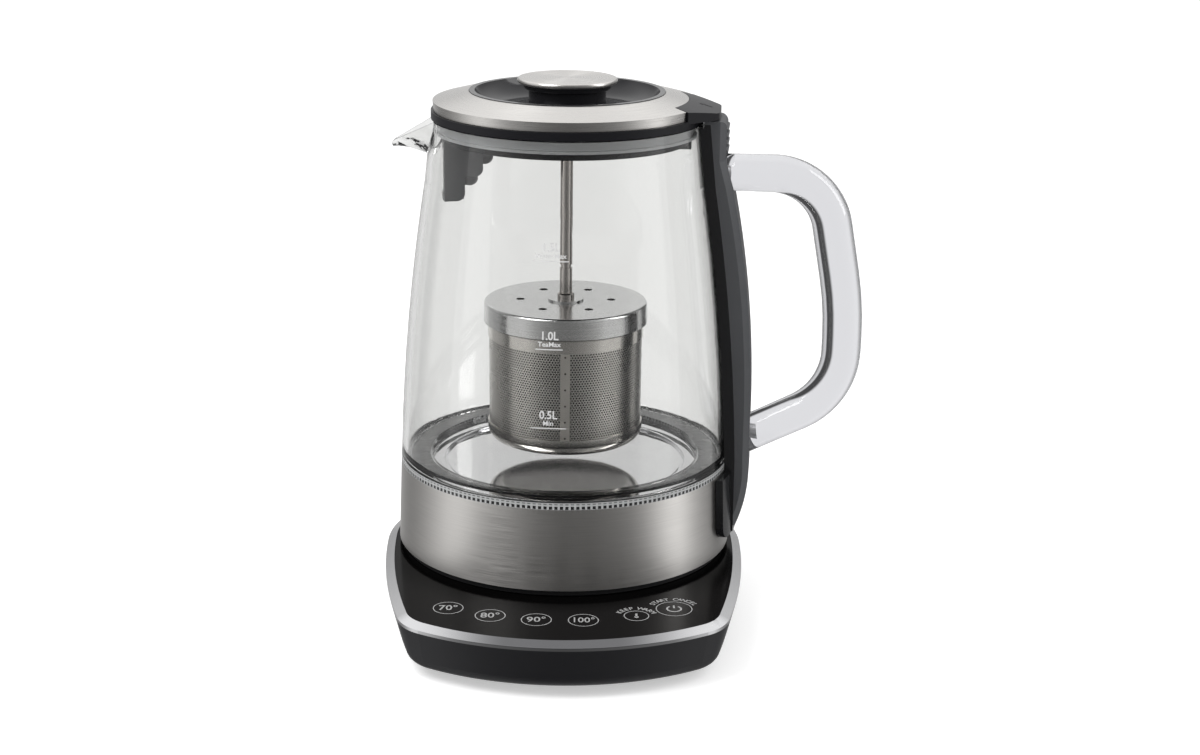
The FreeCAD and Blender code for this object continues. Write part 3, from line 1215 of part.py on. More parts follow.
def basket_seam():
    """The lapped weld strip down the outside of the mesh."""
    inner = BASKET_RADIUS - BASKET_WALL
    strip = ring(inner + SEAM_THICKNESS, inner, BASKET_BOTTOM_BAND_Z, BASKET_TOP_BAND_Z)
    bar = slab(SEAM_WIDTH / 2, 0, 2 * BASKET_RADIUS, BASKET_BOTTOM_BAND_Z, BASKET_TOP_BAND_Z)
    return strip.common(around(bar, SEAM_ANGLE))


FIXED_PIECES = (
    base_housing, base_bottom_plate, base_feet, base_trim, control_panel, dock_plate, base_connector,
    control_board, touch_springs, board_screws, cord_gland,
)
TURNED_PIECES = (
    power_socket, bottom_cover, steel_band, heating_plate, heating_element, thermostat, plate_seal,
    junction_ring, glass_jug, spine_gasket, spine_body, spine_cover, handle, handle_studs,
    lid_body, lid_steel_ring, lid_bowl, lid_seal, rod_guide, detent_ball, detent_spring, strainer_frame,
    strainer_mesh, knob_disc, knob_rim, knob_stem, rod, rod_collar, basket_cap,
    basket_wall, basket_top_band, basket_bottom, basket_seam,
)


def save(name, shape):
    state = "ok" if shape.isValid() else "NOT VALID"
    print(f"{name:20s} solids {len(shape.Solids)} volume {shape.Volume:10.1f} {state}")
    shape.exportStep(f"parts/{name}.step")


for piece in FIXED_PIECES:
    save(piece.__name__, piece())
for piece in TURNED_PIECES:
    save(piece.__name__, around(piece(), KETTLE_TURN))
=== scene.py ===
"""Finishes and printed pieces for a glass tea maker on its power dock, laid out as an add-on."""
import math

import bpy
import bmesh
from mathutils import Matrix, Vector


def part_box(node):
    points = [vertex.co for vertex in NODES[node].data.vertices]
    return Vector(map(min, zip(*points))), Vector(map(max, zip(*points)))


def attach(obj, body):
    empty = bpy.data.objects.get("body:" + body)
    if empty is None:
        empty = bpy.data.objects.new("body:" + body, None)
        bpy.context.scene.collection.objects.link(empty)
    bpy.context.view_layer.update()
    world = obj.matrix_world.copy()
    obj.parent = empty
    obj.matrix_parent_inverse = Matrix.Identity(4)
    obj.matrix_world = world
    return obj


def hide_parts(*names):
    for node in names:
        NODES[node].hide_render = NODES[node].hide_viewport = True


bl_info = {
    "name": "Glass Tea Maker",
    "version": (1, 0, 0),
    "blender": (4, 5, 0),
    "location": "View3D > Sidebar > Tea Maker",
    "description": "Gives a glass tea maker and its power dock their finishes, print and studio",
    "category": "Object",
}

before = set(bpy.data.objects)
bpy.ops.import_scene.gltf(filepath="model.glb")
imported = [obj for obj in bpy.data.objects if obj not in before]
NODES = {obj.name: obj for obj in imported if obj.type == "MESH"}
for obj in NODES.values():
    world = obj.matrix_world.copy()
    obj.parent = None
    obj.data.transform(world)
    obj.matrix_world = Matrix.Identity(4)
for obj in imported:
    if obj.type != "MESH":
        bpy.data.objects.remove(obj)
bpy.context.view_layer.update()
PANEL_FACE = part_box("control_panel")[1].z
BASKET_LOW, BASKET_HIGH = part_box("basket_seam")
BASKET_SHEET_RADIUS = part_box("basket_wall")[1].x
CAP_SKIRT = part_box("basket_cap")[0].z
SEAL_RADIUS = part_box("plate_seal")[1].x
KETTLE_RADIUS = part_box("steel_band")[1].x
TRIM_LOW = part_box("base_trim")[0].z
RING_LOW, RING_HIGH = (corner.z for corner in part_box("junction_ring"))
MM = 0.001
WHITE = (1.0, 1.0, 1.0, 1.0)
# How bright the studio looks in polished surfaces, by degrees round from the camera's side.
MIRROR_LEVELS = ((0, 0.12), (25, 0.18), (45, 0.28), (58, 0.46), (70, 0.85), (82, 1.2), (92, 0.85),
                 (108, 0.5), (130, 0.2), (150, 0.35), (170, 0.6), (180, 0.8))
# How bright it looks through clear pieces, by degrees from the left side through the back to the right.
THROUGH_LEVELS = ((0, 0.1), (22, 0.5), (40, 0.62), (58, 1.0), (112, 1.0), (119, 0.07), (134, 0.07),
                  (142, 0.85), (160, 0.6), (180, 0.1))
# How bright the camera's side looks to pieces that stand behind glass, by degrees round from it.
FRONT_LEVELS = ((0, 0.25), (20, 0.3), (45, 0.6), (62, 1.2), (80, 1.6), (90, 1.2), (180, 0.8))
# Cap heights of the print.
LITRE_HEIGHT = 3.5 * MM
LEVEL_WORD_HEIGHT = 2.0 * MM
FIGURE_HEIGHT = 5.2 * MM
FIELD_WORD_HEIGHT = 2.6 * MM
# Cap height of the letters as a share of their font size.
CAP_SHARE = 0.72
# The litre marks: name, litres, word under them, height on the jug, length of the line.
LITRE_MARKS = (
    ("level_half", "0.5L", "Min", 101.8 * MM, 15.3 * MM),
    ("level_one", "1.0L", "TeaMax", 135.5 * MM, 11.4 * MM),
    ("level_top", "1.5L", "WaterMax", 172.3 * MM, 15.0 * MM),
)
# The temperature fields: name, words, degrees round the dock, width of the figures against their height.
TEMPERATURE_FIELDS = (
    ("field_70", "70°", -119.2, 0.84), ("field_80", "80°", -107.9, 0.84),
    ("field_90", "90°", -96.5, 0.84), ("field_100", "100°", -85.2, 0.74),
)
# The fields with words round them: name, words, degrees round the dock, reach from the kettle's axis, radius
# of the field, radius of the words, degrees from letter to letter.
WORD_FIELDS = (
    ("field_keep_warm", "KEEP WARM", -72.0, 99.6 * MM, 5.2 * MM, 7.9 * MM, 15.5),
    ("field_start", "START CANCEL", -61.6, 98.8 * MM, 7.6 * MM, 10.2 * MM, 11.0),
)
CAMERA_PLACE = (0.0, -0.9334, 0.3812)
CAMERA_RIGHT = (0.99984, -0.01331, 0.01200)
CAMERA_UP = (-0.00769, 0.28593, 0.95822)
CAMERA_AHEAD = (0.01618, 0.95816, -0.28578)
# The bands of painted shade in the ribbed ring's valleys, as shares of its height.
LOWER_BAND = (0.04, 0.5)
UPPER_BAND = (0.72, 0.9)
# Each lamp's place, and its width and height.
KEY_LAMP = ((-0.75, -0.45, 1.25), (0.7, 0.9))
FILL_LAMP = ((1.1, -0.1, 0.8), (0.35, 1.1))
LAMP_AIM = (0.0, 0.0, 0.1)


# ---------------------------------------------------------------- sizes and colours
class TeaMakerPrint(bpy.types.PropertyGroup):
    """Sizes of the print on the jug and the panel."""

    lift: bpy.props.FloatProperty(
        name="Ink Lift", description="How far the ink stands off the surface that carries it",
        default=0.06 * MM, min=0.0, unit="LENGTH")
    ink: bpy.props.FloatProperty(
        name="Ink Thickness", description="Thickness of the printed ink",
        default=0.05 * MM, min=0.0, unit="LENGTH")
    level_angle: bpy.props.FloatProperty(
        name="Level Angle", description="Where the litre marks stand round the jug",
        default=math.radians(-95.6), subtype="ANGLE")
    field_circle: bpy.props.FloatProperty(
        name="Field Circle", description="Radius of the circle that the touch fields lie on",
        default=100.1 * MM, unit="LENGTH")
    field_radius: bpy.props.FloatProperty(
        name="Field Radius", description="Radius of a temperature field",
        default=6.3 * MM, unit="LENGTH")
    line_width: bpy.props.FloatProperty(
        name="Line Width", description="Width of a printed line on the panel",
        default=0.4 * MM, unit="LENGTH")


class TeaMakerHandle(bpy.types.PropertyGroup):
    """The clear handle's line, as distances from the kettle's axis and heights, with its bends."""

    turn: bpy.props.FloatProperty(
        name="Turn", description="How far the kettle stands turned on its dock",
        default=math.radians(-6.0), subtype="ANGLE")
    root: bpy.props.FloatVectorProperty(
        name="Upper Root", description="Reach and height of the upper root", size=2,
        default=(70.5 * MM, 199.3 * MM), unit="LENGTH")
    shoulder: bpy.props.FloatVectorProperty(
        name="Upper Corner", description="Reach and height of the upper corner", size=2,
        default=(113.2 * MM, 199.3 * MM), unit="LENGTH")
    bow: bpy.props.FloatVectorProperty(
        name="Bow", description="Reach and height of the grip's bow", size=2,
        default=(123.7 * MM, 141.0 * MM), unit="LENGTH")
    elbow: bpy.props.FloatVectorProperty(
        name="Lower Corner", description="Reach and height of the lower corner", size=2,
        default=(123.3 * MM, 100.1 * MM), unit="LENGTH")
    foot: bpy.props.FloatVectorProperty(
        name="Lower Root", description="Reach and height of the lower root", size=2,
        default=(76.5 * MM, 76.5 * MM), unit="LENGTH")
    bends: bpy.props.FloatVectorProperty(
        name="Bends", description="Bend radius at the upper corner, the bow and the lower corner", size=3,
        default=(27.0 * MM, 150.0 * MM, 33.0 * MM), unit="LENGTH")
    half_depth: bpy.props.FloatVectorProperty(
        name="Half Depth", description="Half the bar's depth at its roots and at the bow", size=2,
        default=(8.1 * MM, 8.8 * MM), unit="LENGTH")
    half_width: bpy.props.FloatProperty(
        name="Half Width", description="Half the bar's width from side to side",
        default=8.2 * MM, unit="LENGTH")


class TeaMakerFinish(bpy.types.PropertyGroup):
    """Colours and finishes that a user would change."""

    steel: bpy.props.FloatVectorProperty(
        name="Steel", description="Colour of the brushed steel", subtype="COLOR", size=3,
        default=(0.6, 0.585, 0.565), min=0.0, max=1.0)
    moulding: bpy.props.FloatVectorProperty(
        name="Moulding", description="Colour of the black mouldings", subtype="COLOR", size=3,
        default=(0.008, 0.008, 0.01), min=0.0, max=1.0)
    cover: bpy.props.FloatVectorProperty(
        name="Spine Cover", description="Colour of the matt spine cover", subtype="COLOR", size=3,
        default=(0.07, 0.072, 0.077), min=0.0, max=1.0)
    glass: bpy.props.FloatVectorProperty(
        name="Glass", description="Tint of the glass", subtype="COLOR", size=3,
        default=(0.9, 0.902, 0.894), min=0.0, max=1.0)
    ink: bpy.props.FloatVectorProperty(
        name="Ink", description="Colour of the printed ink", subtype="COLOR", size=3,
        default=(0.55, 0.55, 0.55), min=0.0, max=1.0)
    brush_lines: bpy.props.FloatProperty(
        name="Brush Lines", description="Brushed lines in each metre across the brushing",
        default=2600.0, min=1.0)
    hole_pitch: bpy.props.FloatProperty(
        name="Hole Pitch", description="Distance between the holes of the basket's sheet",
        default=1.25 * MM, unit="LENGTH")
    hole_radius: bpy.props.FloatProperty(
        name="Hole Radius", description="Radius of the holes of the basket's sheet",
        default=0.4 * MM, unit="LENGTH")


class TeaMakerStage(bpy.types.PropertyGroup):
    """The studio round the tea maker."""

    floor_size: bpy.props.FloatProperty(
        name="Floor Size", description="Side of the pale floor", default=6.0, unit="LENGTH")
    lens: bpy.props.FloatProperty(
        name="Lens", description="Focal length of the camera, in millimetres", default=64.5, min=1.0)
    key_power: bpy.props.FloatProperty(
        name="Key Light", description="Power of the large lamp above and to the left", default=13.0, min=0.0)
    fill_power: bpy.props.FloatProperty(
        name="Fill Light", description="Power of the lamp at the right", default=5.0, min=0.0)
    room_light: bpy.props.FloatProperty(
        name="Room Light", description="Strength of the even light of the room", default=0.75, min=0.0)
    top_light: bpy.props.FloatProperty(
        name="Top Light", description="How bright the ceiling looks in polished surfaces",
        default=1.25, min=0.0)
    floor_glow: bpy.props.FloatProperty(
        name="Floor Glow", description="Light added to the floor so that it stays white",
        default=0.45, min=0.0)


# ---------------------------------------------------------------- materials
class Nodes:
    """A node tree, with short calls that add nodes and join them."""

    def __init__(self, tree):
        self.tree = tree

    def first(self, kind):
        return next(node for node in self.tree.nodes if node.type == kind)

    def add(self, kind, **settings):
        node = self.tree.nodes.new(kind)
        for key, value in settings.items():
            setattr(node, key, value)
        return node

    def wire(self, source, target):
        self.tree.links.new(source, target)

    def feed(self, socket, value):
        """Gives a socket a number or colour, or joins it to another node's output."""
        if isinstance(value, bpy.types.NodeSocket):
            self.wire(value, socket)
        else:
            socket.default_value = value

    def math(self, operation, a, b=0.0):
        node = self.add("ShaderNodeMath", operation=operation)
        for socket, value in zip(node.inputs, (a, b)):
            self.feed(socket, value)
        return node.outputs[0]

    def times(self, a, b):
        return self.math("MULTIPLY", a, b)

    def parts(self, kind):
        """The x, y and z of one kind of texture coordinate."""
        where = self.add("ShaderNodeTexCoord")
        split = self.add("ShaderNodeSeparateXYZ")
        self.wire(where.outputs[kind], split.inputs[0])
        return tuple(split.outputs)

    def step(self, value, start, end, low=0.0, high=1.0):
        """A smooth change from low at start to high at end."""
        node = self.add("ShaderNodeMapRange", interpolation_type="SMOOTHSTEP")
        for key, number in (("From Min", start), ("From Max", end), ("To Min", low), ("To Max", high)):
            node.inputs[key].default_value = number
        self.wire(value, node.inputs["Value"])
        return node.outputs["Result"]

    def mix(self, share, first, second):
        """A colour that goes from first to second as share goes from 0 to 1."""
        node = self.add("ShaderNodeMix", data_type="RGBA")
        for key, value in (("Factor", share), ("A", first), ("B", second)):
            self.feed(node.inputs[key], value)
        return node.outputs["Result"]

    def ramp(self, share, table, smooth):
        """The brightness that a table of degrees and levels gives for a share of a half turn."""
        node = self.add("ShaderNodeValToRGB")
        node.color_ramp.interpolation = smooth
        stops = node.color_ramp.elements
        while len(stops) < len(table):
            stops.new(0.5)
        for stop, (degrees, level) in zip(stops, table):
            stop.position = degrees / 180.0
            stop.color = (level, level, level, 1.0)
        self.wire(share, node.inputs[0])
        return node.outputs[0]


class Finish(Nodes):
    """One material, with the calls that the finishes share."""

    def __init__(self, name):
        self.material = bpy.data.materials.new(name)
        self.material.use_nodes = True
        super().__init__(self.material.node_tree)
        self.shader = self.first("BSDF_PRINCIPLED")
        self.output = self.first("OUTPUT_MATERIAL")

    def set(self, **values):
        """Sets the shader's own sockets: base_color becomes Base Color."""
        for key, value in values.items():
            name = key.replace("_", " ").title().replace("Ior", "IOR")
            if not isinstance(value, (int, float)):
                value = (*value, 1.0)
            self.shader.inputs[name].default_value = value

    def place(self):
        """The surface point's x, y and z in the frame."""
        return self.parts("Object")

    def radius(self, x, y):
        return self.math("SQRT", self.math("ADD", self.times(x, x), self.times(y, y)))

    def vector(self, x, y, z):
        node = self.add("ShaderNodeCombineXYZ")
        for socket, value in zip(node.inputs, (x, y, z)):
            self.feed(socket, value)
        return node.outputs[0]

    def noise(self, vector, scale=1.0, detail=3.0):
        node = self.add("ShaderNodeTexNoise")
        node.inputs["Scale"].default_value = scale
        node.inputs["Detail"].default_value = detail
        self.wire(vector, node.inputs["Vector"])
        return node.outputs["Fac"]

    def cloud(self, scale, detail):
        """Noise that is the same in every direction."""
        return self.noise(self.vector(*self.place()), scale, detail)

    def spread(self, value, low, high):
        """Noise, which stays near its middle, mapped to low to high."""
        node = self.add("ShaderNodeMapRange")
        for key, number in (("From Min", 0.25), ("From Max", 0.75), ("To Min", low), ("To Max", high)):
            node.inputs[key].default_value = number
        self.wire(value, node.inputs["Value"])
        return node.outputs["Result"]

    def roughen(self, value, low, high):
        self.wire(self.spread(value, low, high), self.shader.inputs["Roughness"])

    def blend(self, share, first, second):
        """Base colour that goes from first to second as share goes from 0 to 1."""
        self.wire(self.mix(share, (*first, 1.0), (*second, 1.0)), self.shader.inputs["Base Color"])

    def tint(self, colour, value, low, high):
        """The base colour made darker and lighter by a value."""
        self.blend(value, [c * low for c in colour], [min(1.0, c * high) for c in colour])

    def bump(self, height, strength, distance):
        node = self.add("ShaderNodeBump")
        node.inputs["Strength"].default_value = strength
        node.inputs["Distance"].default_value = distance
        self.wire(height, node.inputs["Height"])
        self.wire(node.outputs["Normal"], self.shader.inputs["Normal"])

    def see_through(self, mask, dimness=0.3):
        """Mixes the shader with a dim hole where mask is 1."""
        hole = self.add("ShaderNodeBsdfTransparent")
        hole.inputs["Color"].default_value = (dimness, dimness, dimness, 1.0)
        mixed = self.add("ShaderNodeMixShader")
        self.wire(mask, mixed.inputs[0])
        self.wire(self.shader.outputs[0], mixed.inputs[1])
        self.wire(hole.outputs[0], mixed.inputs[2])
        self.wire(mixed.outputs[0], self.output.inputs["Surface"])


def brushed_round(name, colour, roughness, lines, depth=0.05, stretch=0.55, turned=0.0):
    """Steel with fine lines round the upright axis; turned is the turn of its stretched reflections."""
    f = Finish(name)
    x, y, z = f.place()
    along = 55.0
    across = f.times(f.math("ADD", f.radius(x, y), z), lines)
    grain = f.noise(f.vector(f.times(x, along), f.times(y, along), across), 1.0, 4.0)
    f.tint(colour, grain, 0.88, 1.12)
    f.roughen(grain, roughness - 0.05, roughness + 0.07)
    f.bump(grain, depth, 0.05 * MM)
    f.set(metallic=1.0, anisotropic=stretch, anisotropic_rotation=turned)
    tangent = f.add("ShaderNodeTangent", direction_type="RADIAL", axis="Z")
    f.wire(tangent.outputs[0], f.shader.inputs["Tangent"])
    return f


def polished(name, colour, roughness, smear=0.05):
    """Polished metal with faint wipe marks."""
    f = Finish(name)
    cloud = f.cloud(60.0, 4.0)
    f.tint(colour, cloud, 0.95, 1.05)
    f.roughen(cloud, max(roughness - smear, 0.01), roughness + smear)
    f.set(metallic=1.0)
    return f


def moulded(name, colour, roughness, grain=900.0, depth=0.12, shine=0.3):
    """Moulded plastic with a fine spark texture."""
    f = Finish(name)
    cloud = f.cloud(18.0, 3.0)
    f.tint(colour, cloud, 0.85, 1.18)
    f.roughen(cloud, roughness - 0.04, roughness + 0.05)
    f.bump(f.cloud(grain, 3.0), depth, 0.03 * MM)
    f.set(specular_ior_level=shine)
    return f


def glossy(name, colour, roughness=0.06, shine=0.5):
    """Glossy black plastic with faint smears."""
    f = Finish(name)
    cloud = f.cloud(35.0, 4.0)
    f.tint(colour, cloud, 0.85, 1.15)
    f.roughen(cloud, roughness - 0.02, roughness + 0.05)
    f.set(specular_ior_level=shine)
    return f


def panel_gloss(name, colour):
    """Black glass panel with painted shade round the kettle, darkest there, and faint lines across it."""
    f = Finish(name)
    x, y, z = f.place()
    lines = f.noise(f.vector(f.times(x, 14.0), f.times(y, 900.0), 0.0), 1.0, 3.0)
    # Painted shade: the colour is darkened close to the kettle, which shades the panel.
    away = f.step(f.radius(x, y), KETTLE_RADIUS + 4 * MM, KETTLE_RADIUS + 20 * MM)
    f.blend(f.times(away, f.spread(lines, 0.8, 1.0)), tuple(c * 0.2 for c in colour), colour)
    f.roughen(lines, 0.1, 0.16)
    f.set(specular_ior_level=0.03)
    return f


def trim_metal(name, dark=(0.14, 0.14, 0.145), bright=(0.6, 0.6, 0.61)):
    """Bright trim with painted reflections: darker at the front's middle, as if it mirrored a darker room,
    and a painted highlight along its lower edge.
    """
    f = Finish(name)
    x, y, z = f.place()
    # Painted reflection, dark at the middle and light at the sides, and a painted highlight along the lower
    # edge.
    side = f.step(f.math("ABSOLUTE", x), 22 * MM, 64 * MM)
    edge = f.step(z, TRIM_LOW + 1.6 * MM, TRIM_LOW + 0.9 * MM)
    f.blend(f.math("MAXIMUM", side, f.times(edge, 0.6)), dark, bright)
    f.roughen(f.cloud(60.0, 4.0), 0.1, 0.18)
    f.set(metallic=1.0)
    return f


def plate_rim(name, shaded=(0.2, 0.2, 0.205), lit=(0.84, 0.84, 0.83)):
    """Satin metal round the heating plate, falling into shadow towards the plate."""
    f = Finish(name)
    x, y, z = f.place()
    grain = f.noise(f.vector(f.times(x, 60.0), f.times(y, 60.0), 0.0), 1.0, 3.0)
    out = f.step(f.radius(x, y), SEAL_RADIUS - 12 * MM, SEAL_RADIUS - 6 * MM)
    f.blend(f.times(out, f.spread(grain, 0.85, 1.0)), shaded, lit)
    f.roughen(grain, 0.2, 0.32)
    f.set(metallic=0.3)
    return f


def basket_band(name, colour, roughness, shadow=(0.012, 0.012, 0.012)):
    """Polished band of the basket, in shadow right under the cap's skirt."""
    f = Finish(name)
    x, y, z = f.place()
    below = f.step(z, CAP_SKIRT - 1.5 * MM, CAP_SKIRT - 0.3 * MM)
    above = f.step(z, CAP_SKIRT + 1.4 * MM, CAP_SKIRT + 0.4 * MM)
    f.blend(f.times(below, above), colour, shadow)
    f.roughen(f.cloud(60.0, 4.0), roughness, roughness + 0.08)
    f.set(metallic=1.0)
    return f


def seam_strip(name, colour, pitch, spot, burnt=(0.1, 0.09, 0.08)):
    """Plain strip of the sheet's joint, with a row of weld spots."""
    f = Finish(name)
    x, y, z = f.place()
    up = f.times(f.math("SUBTRACT", f.math("FRACT", f.math("DIVIDE", z, pitch)), 0.5), pitch)
    f.blend(f.step(f.radius(x, up), spot, spot * 0.5), colour, burnt)
    f.roughen(f.cloud(90.0, 3.0), 0.45, 0.6)
    f.set(metallic=1.0)
    return f


def clear(name, tint, ior, ripple=0.0):
    """Glass or clear plastic, with the slight ripple of a blown or moulded wall."""
    f = Finish(name)
    x, y, z = f.place()
    wave = f.noise(f.vector(x, y, f.times(z, 0.35)), 22.0, 2.0)
    f.bump(wave, ripple, 0.3 * MM)
    f.roughen(wave, 0.0, 0.012)
    f.tint(tint, wave, 0.995, 1.005)
    f.set(ior=ior, transmission_weight=1.0)
    return f


def in_band(f, value, low, high):
    """1 where a value lies between two limits, 0 elsewhere."""
    return f.times(f.math("GREATER_THAN", value, low), f.math("LESS_THAN", value, high))


def hole_grid(f, across, up, pitch, hole):
    """1 inside the round holes of a staggered grid, 0 outside them; across and up must be above zero."""
    row_pitch = pitch * math.sqrt(3) / 2
    row = f.math("DIVIDE", up, row_pitch)
    odd = f.math("MODULO", f.math("FLOOR", row), 2.0)
    column = f.math("ADD", f.math("DIVIDE", across, pitch), f.times(odd, 0.5))
    aside = f.times(f.math("SUBTRACT", f.math("FRACT", column), 0.5), pitch)
    above = f.times(f.math("SUBTRACT", f.math("FRACT", row), 0.5), row_pitch)
    return f.math("LESS_THAN", f.radius(aside, above), hole)


def perforated(name, colour, roughness, radius, pitch, hole, low, high):
    """Thin sheet on a cylinder, with holes between two heights."""
    f = polished(name, colour, roughness)
    x, y, z = f.place()
    count = round(2 * math.pi * radius / pitch)
    across = f.times(f.math("ARCTAN2", x, y), count * pitch / (2 * math.pi))
    mask = hole_grid(f, f.math("ADD", across, 500 * pitch), z, pitch, hole)
    f.see_through(f.times(mask, in_band(f, z, low, high)))
    return f


def perforated_floor(name, colour, roughness, pitch, hole, reach):
    """Thin sheet with holes in its flat middle, out to a radius."""
    f = polished(name, colour, roughness)
    x, y, z = f.place()
    mask = hole_grid(f, f.math("ADD", x, 400 * pitch), f.math("ADD", y, 400 * pitch), pitch, hole)
    f.see_through(f.times(mask, f.math("LESS_THAN", f.radius(x, y), reach)))
    return f


def perforated_wall(name, colour, roughness, pitch, hole):
    """Thin upright sheet across the beak, with holes all over."""
    f = polished(name, colour, roughness)
    x, y, z = f.place()
    f.see_through(hole_grid(f, f.math("ADD", y, 200 * pitch), z, pitch, hole))
    return f


def ribbed_ring(name, tint, count, valley_shade=(0.02, 0.02, 0.021)):
    """Clear plastic with fine upright ribs round it, with painted shade in the valleys of two bands."""
    f = Finish(name)
    x, y, z = f.place()
    turns = f.times(f.math("ARCTAN2", x, y), count / (2 * math.pi))
    phase = f.math("FRACT", f.math("ADD", turns, count))
    rib = f.math("LESS_THAN", f.math("ABSOLUTE", f.math("SUBTRACT", phase, 0.5)), 0.3)
    share = f.math("DIVIDE", f.math("SUBTRACT", z, RING_LOW), RING_HIGH - RING_LOW)
    lower = in_band(f, share, *LOWER_BAND)
    upper = in_band(f, share, *UPPER_BAND)
    # Painted shade in the rib valleys: full in the lower band, lighter in the upper one.
    mark = f.times(rib, f.math("ADD", lower, f.times(upper, 0.7)))
    f.blend(mark, tint, valley_shade)
    f.roughen(mark, 0.08, 0.2)
    f.bump(rib, 0.5, 0.15 * MM)
    f.set(ior=1.49, transmission_weight=0.3)
    return f


def printed(name, colour, glow=0.0):
    """Flat screen print with a faintly uneven colour; glow gives the ink a painted glow of its own light."""
    f = Finish(name)
    f.tint(colour, f.cloud(700.0, 2.0), 0.93, 1.05)
    f.set(roughness=0.55, emission_color=colour, emission_strength=glow)
    return f


def assign(finish, *names):
    """Gives CAD nodes a material and leaves their shape alone."""
    for name in names:
        slots = NODES[name].data.materials
        slots.clear()
        slots.append(finish.material)


# ---------------------------------------------------------------- modelling helpers
def clear_selection():
    if bpy.context.object and bpy.context.object.mode != "OBJECT":
        bpy.ops.object.mode_set(mode="OBJECT")
    bpy.ops.object.select_all(action="DESELECT")


def settle(name=None):
    """Puts the active object's place into its mesh and returns it."""
    piece = bpy.context.object
    bpy.ops.object.transform_apply(location=True, rotation=True, scale=True)
    if name:
        piece.name = name
        piece.data.name = name
    return piece


def joined(pieces, name):
    """Joins pieces into the first one and names it."""
    clear_selection()
    for piece in pieces:
        piece.select_set(True)
    bpy.context.view_layer.objects.active = pieces[0]
    if len(pieces) > 1:
        bpy.ops.object.join()
    piece = bpy.context.object
    piece.name = name
    piece.data.name = name
    return piece


def lettering(words, height, narrow=1.0, thickness=0.05 * MM, bold=0.0):
    """Flat letters as a mesh, centred on the origin in the XY plane, with their real cap height."""
    clear_selection()
    bpy.ops.object.text_add()
    text = bpy.context.object
    text.data.body = words
    text.data.size = height / CAP_SHARE
    text.data.extrude = thickness / 2
    text.data.resolution_u = 3
    text.data.align_x = "CENTER"
    text.data.align_y = "CENTER"
    text.data.offset = bold
    bpy.ops.object.convert(target="MESH")
    text = bpy.context.object
    text.scale = (narrow, 1.0, 1.0)
    return settle()


def hoop(radius, width, thickness, segments=64):
    """A flat printed ring: a torus pressed to the ink's thickness."""
    clear_selection()
    bpy.ops.mesh.primitive_torus_add(major_radius=radius, minor_radius=width / 2,
                                     major_segments=segments, minor_segments=8)
    bpy.context.object.scale = (1.0, 1.0, thickness / width)
    return settle()


def open_hoop(hoop_piece, middle, half):
    """Cuts a gap out of a ring, half an angle to each side of middle, and closes its ends."""
    clear_selection()
    hoop_piece.select_set(True)
    bpy.context.view_layer.objects.active = hoop_piece
    bpy.ops.object.mode_set(mode="EDIT")
    mesh = bmesh.from_edit_mesh(hoop_piece.data)
    for face in mesh.faces:
        centre = face.calc_center_median()
        away = math.atan2(centre.y, centre.x) - middle
        face.select = abs((away + math.pi) % (2 * math.pi) - math.pi) < half
    bmesh.update_edit_mesh(hoop_piece.data)
    bpy.ops.mesh.delete(type="FACE")
    bpy.ops.mesh.select_all(action="SELECT")
    bpy.ops.mesh.fill_holes(sides=12)
    bpy.ops.object.mode_set(mode="OBJECT")
    return hoop_piece


def bar(length, width, thickness, cuts=1):
    """A flat printed line along X, divided so that it can follow a curve."""
    clear_selection()
    bpy.ops.mesh.primitive_grid_add(x_subdivisions=cuts, y_subdivisions=1, size=1.0)
    bpy.context.object.scale = (length, width, 1.0)
    piece = settle()
    bpy.ops.object.mode_set(mode="EDIT")
    bpy.ops.mesh.select_all(action="SELECT")
    bpy.ops.mesh.extrude_region_move(TRANSFORM_OT_translate={"value": (0, 0, thickness)})
    bpy.ops.mesh.select_all(action="SELECT")
    bpy.ops.mesh.normals_make_consistent(inside=False)
    bpy.ops.object.mode_set(mode="OBJECT")
    return piece


def shift(piece, x=0.0, y=0.0, z=0.0, turn=0.0):
    """Moves a flat piece's mesh by a turn in its plane and then a step."""
    piece.data.transform(Matrix.Translation((x, y, z)) @ Matrix.Rotation(turn, 4, "Z"))
    return piece


def wrap_on(piece, node, angle, height, lift):
    """Lays a flat piece on a round node's outer face: X goes round it and Y up it."""
    out = Vector((math.cos(angle), math.sin(angle), 0.0))
    carrier = NODES[node]
    mesh = piece.data
    for vertex in mesh.vertices:
        up = height + vertex.co.y
        hit, where, normal, face = carrier.ray_cast(out * 0.2 + Vector((0, 0, up)), -out)
        if not hit:
            raise RuntimeError(f"{piece.name} finds no {node} behind it")
        radius = math.hypot(where.x, where.y)
        a = angle + vertex.co.x / radius
        reach = radius + lift + vertex.co.z
        vertex.co = Vector((reach * math.cos(a), reach * math.sin(a), up))
    mesh.update()
    return piece


def drop_on(piece, node, x, y, turn, lift):
    """Lays a flat piece on a node's upper face at a place, turned in its plane."""
    carrier = NODES[node]
    mesh = piece.data
    mesh.transform(Matrix.Translation((x, y, 0.0)) @ Matrix.Rotation(turn, 4, "Z"))
    for vertex in mesh.vertices:
        start = Vector((vertex.co.x, vertex.co.y, 1.0))
        hit, where, normal, face = carrier.ray_cast(start, Vector((0, 0, -1)))
        if not hit:
            raise RuntimeError(f"{piece.name} finds no {node} below it")
        vertex.co.z += where.z + lift
    mesh.update()
    return piece


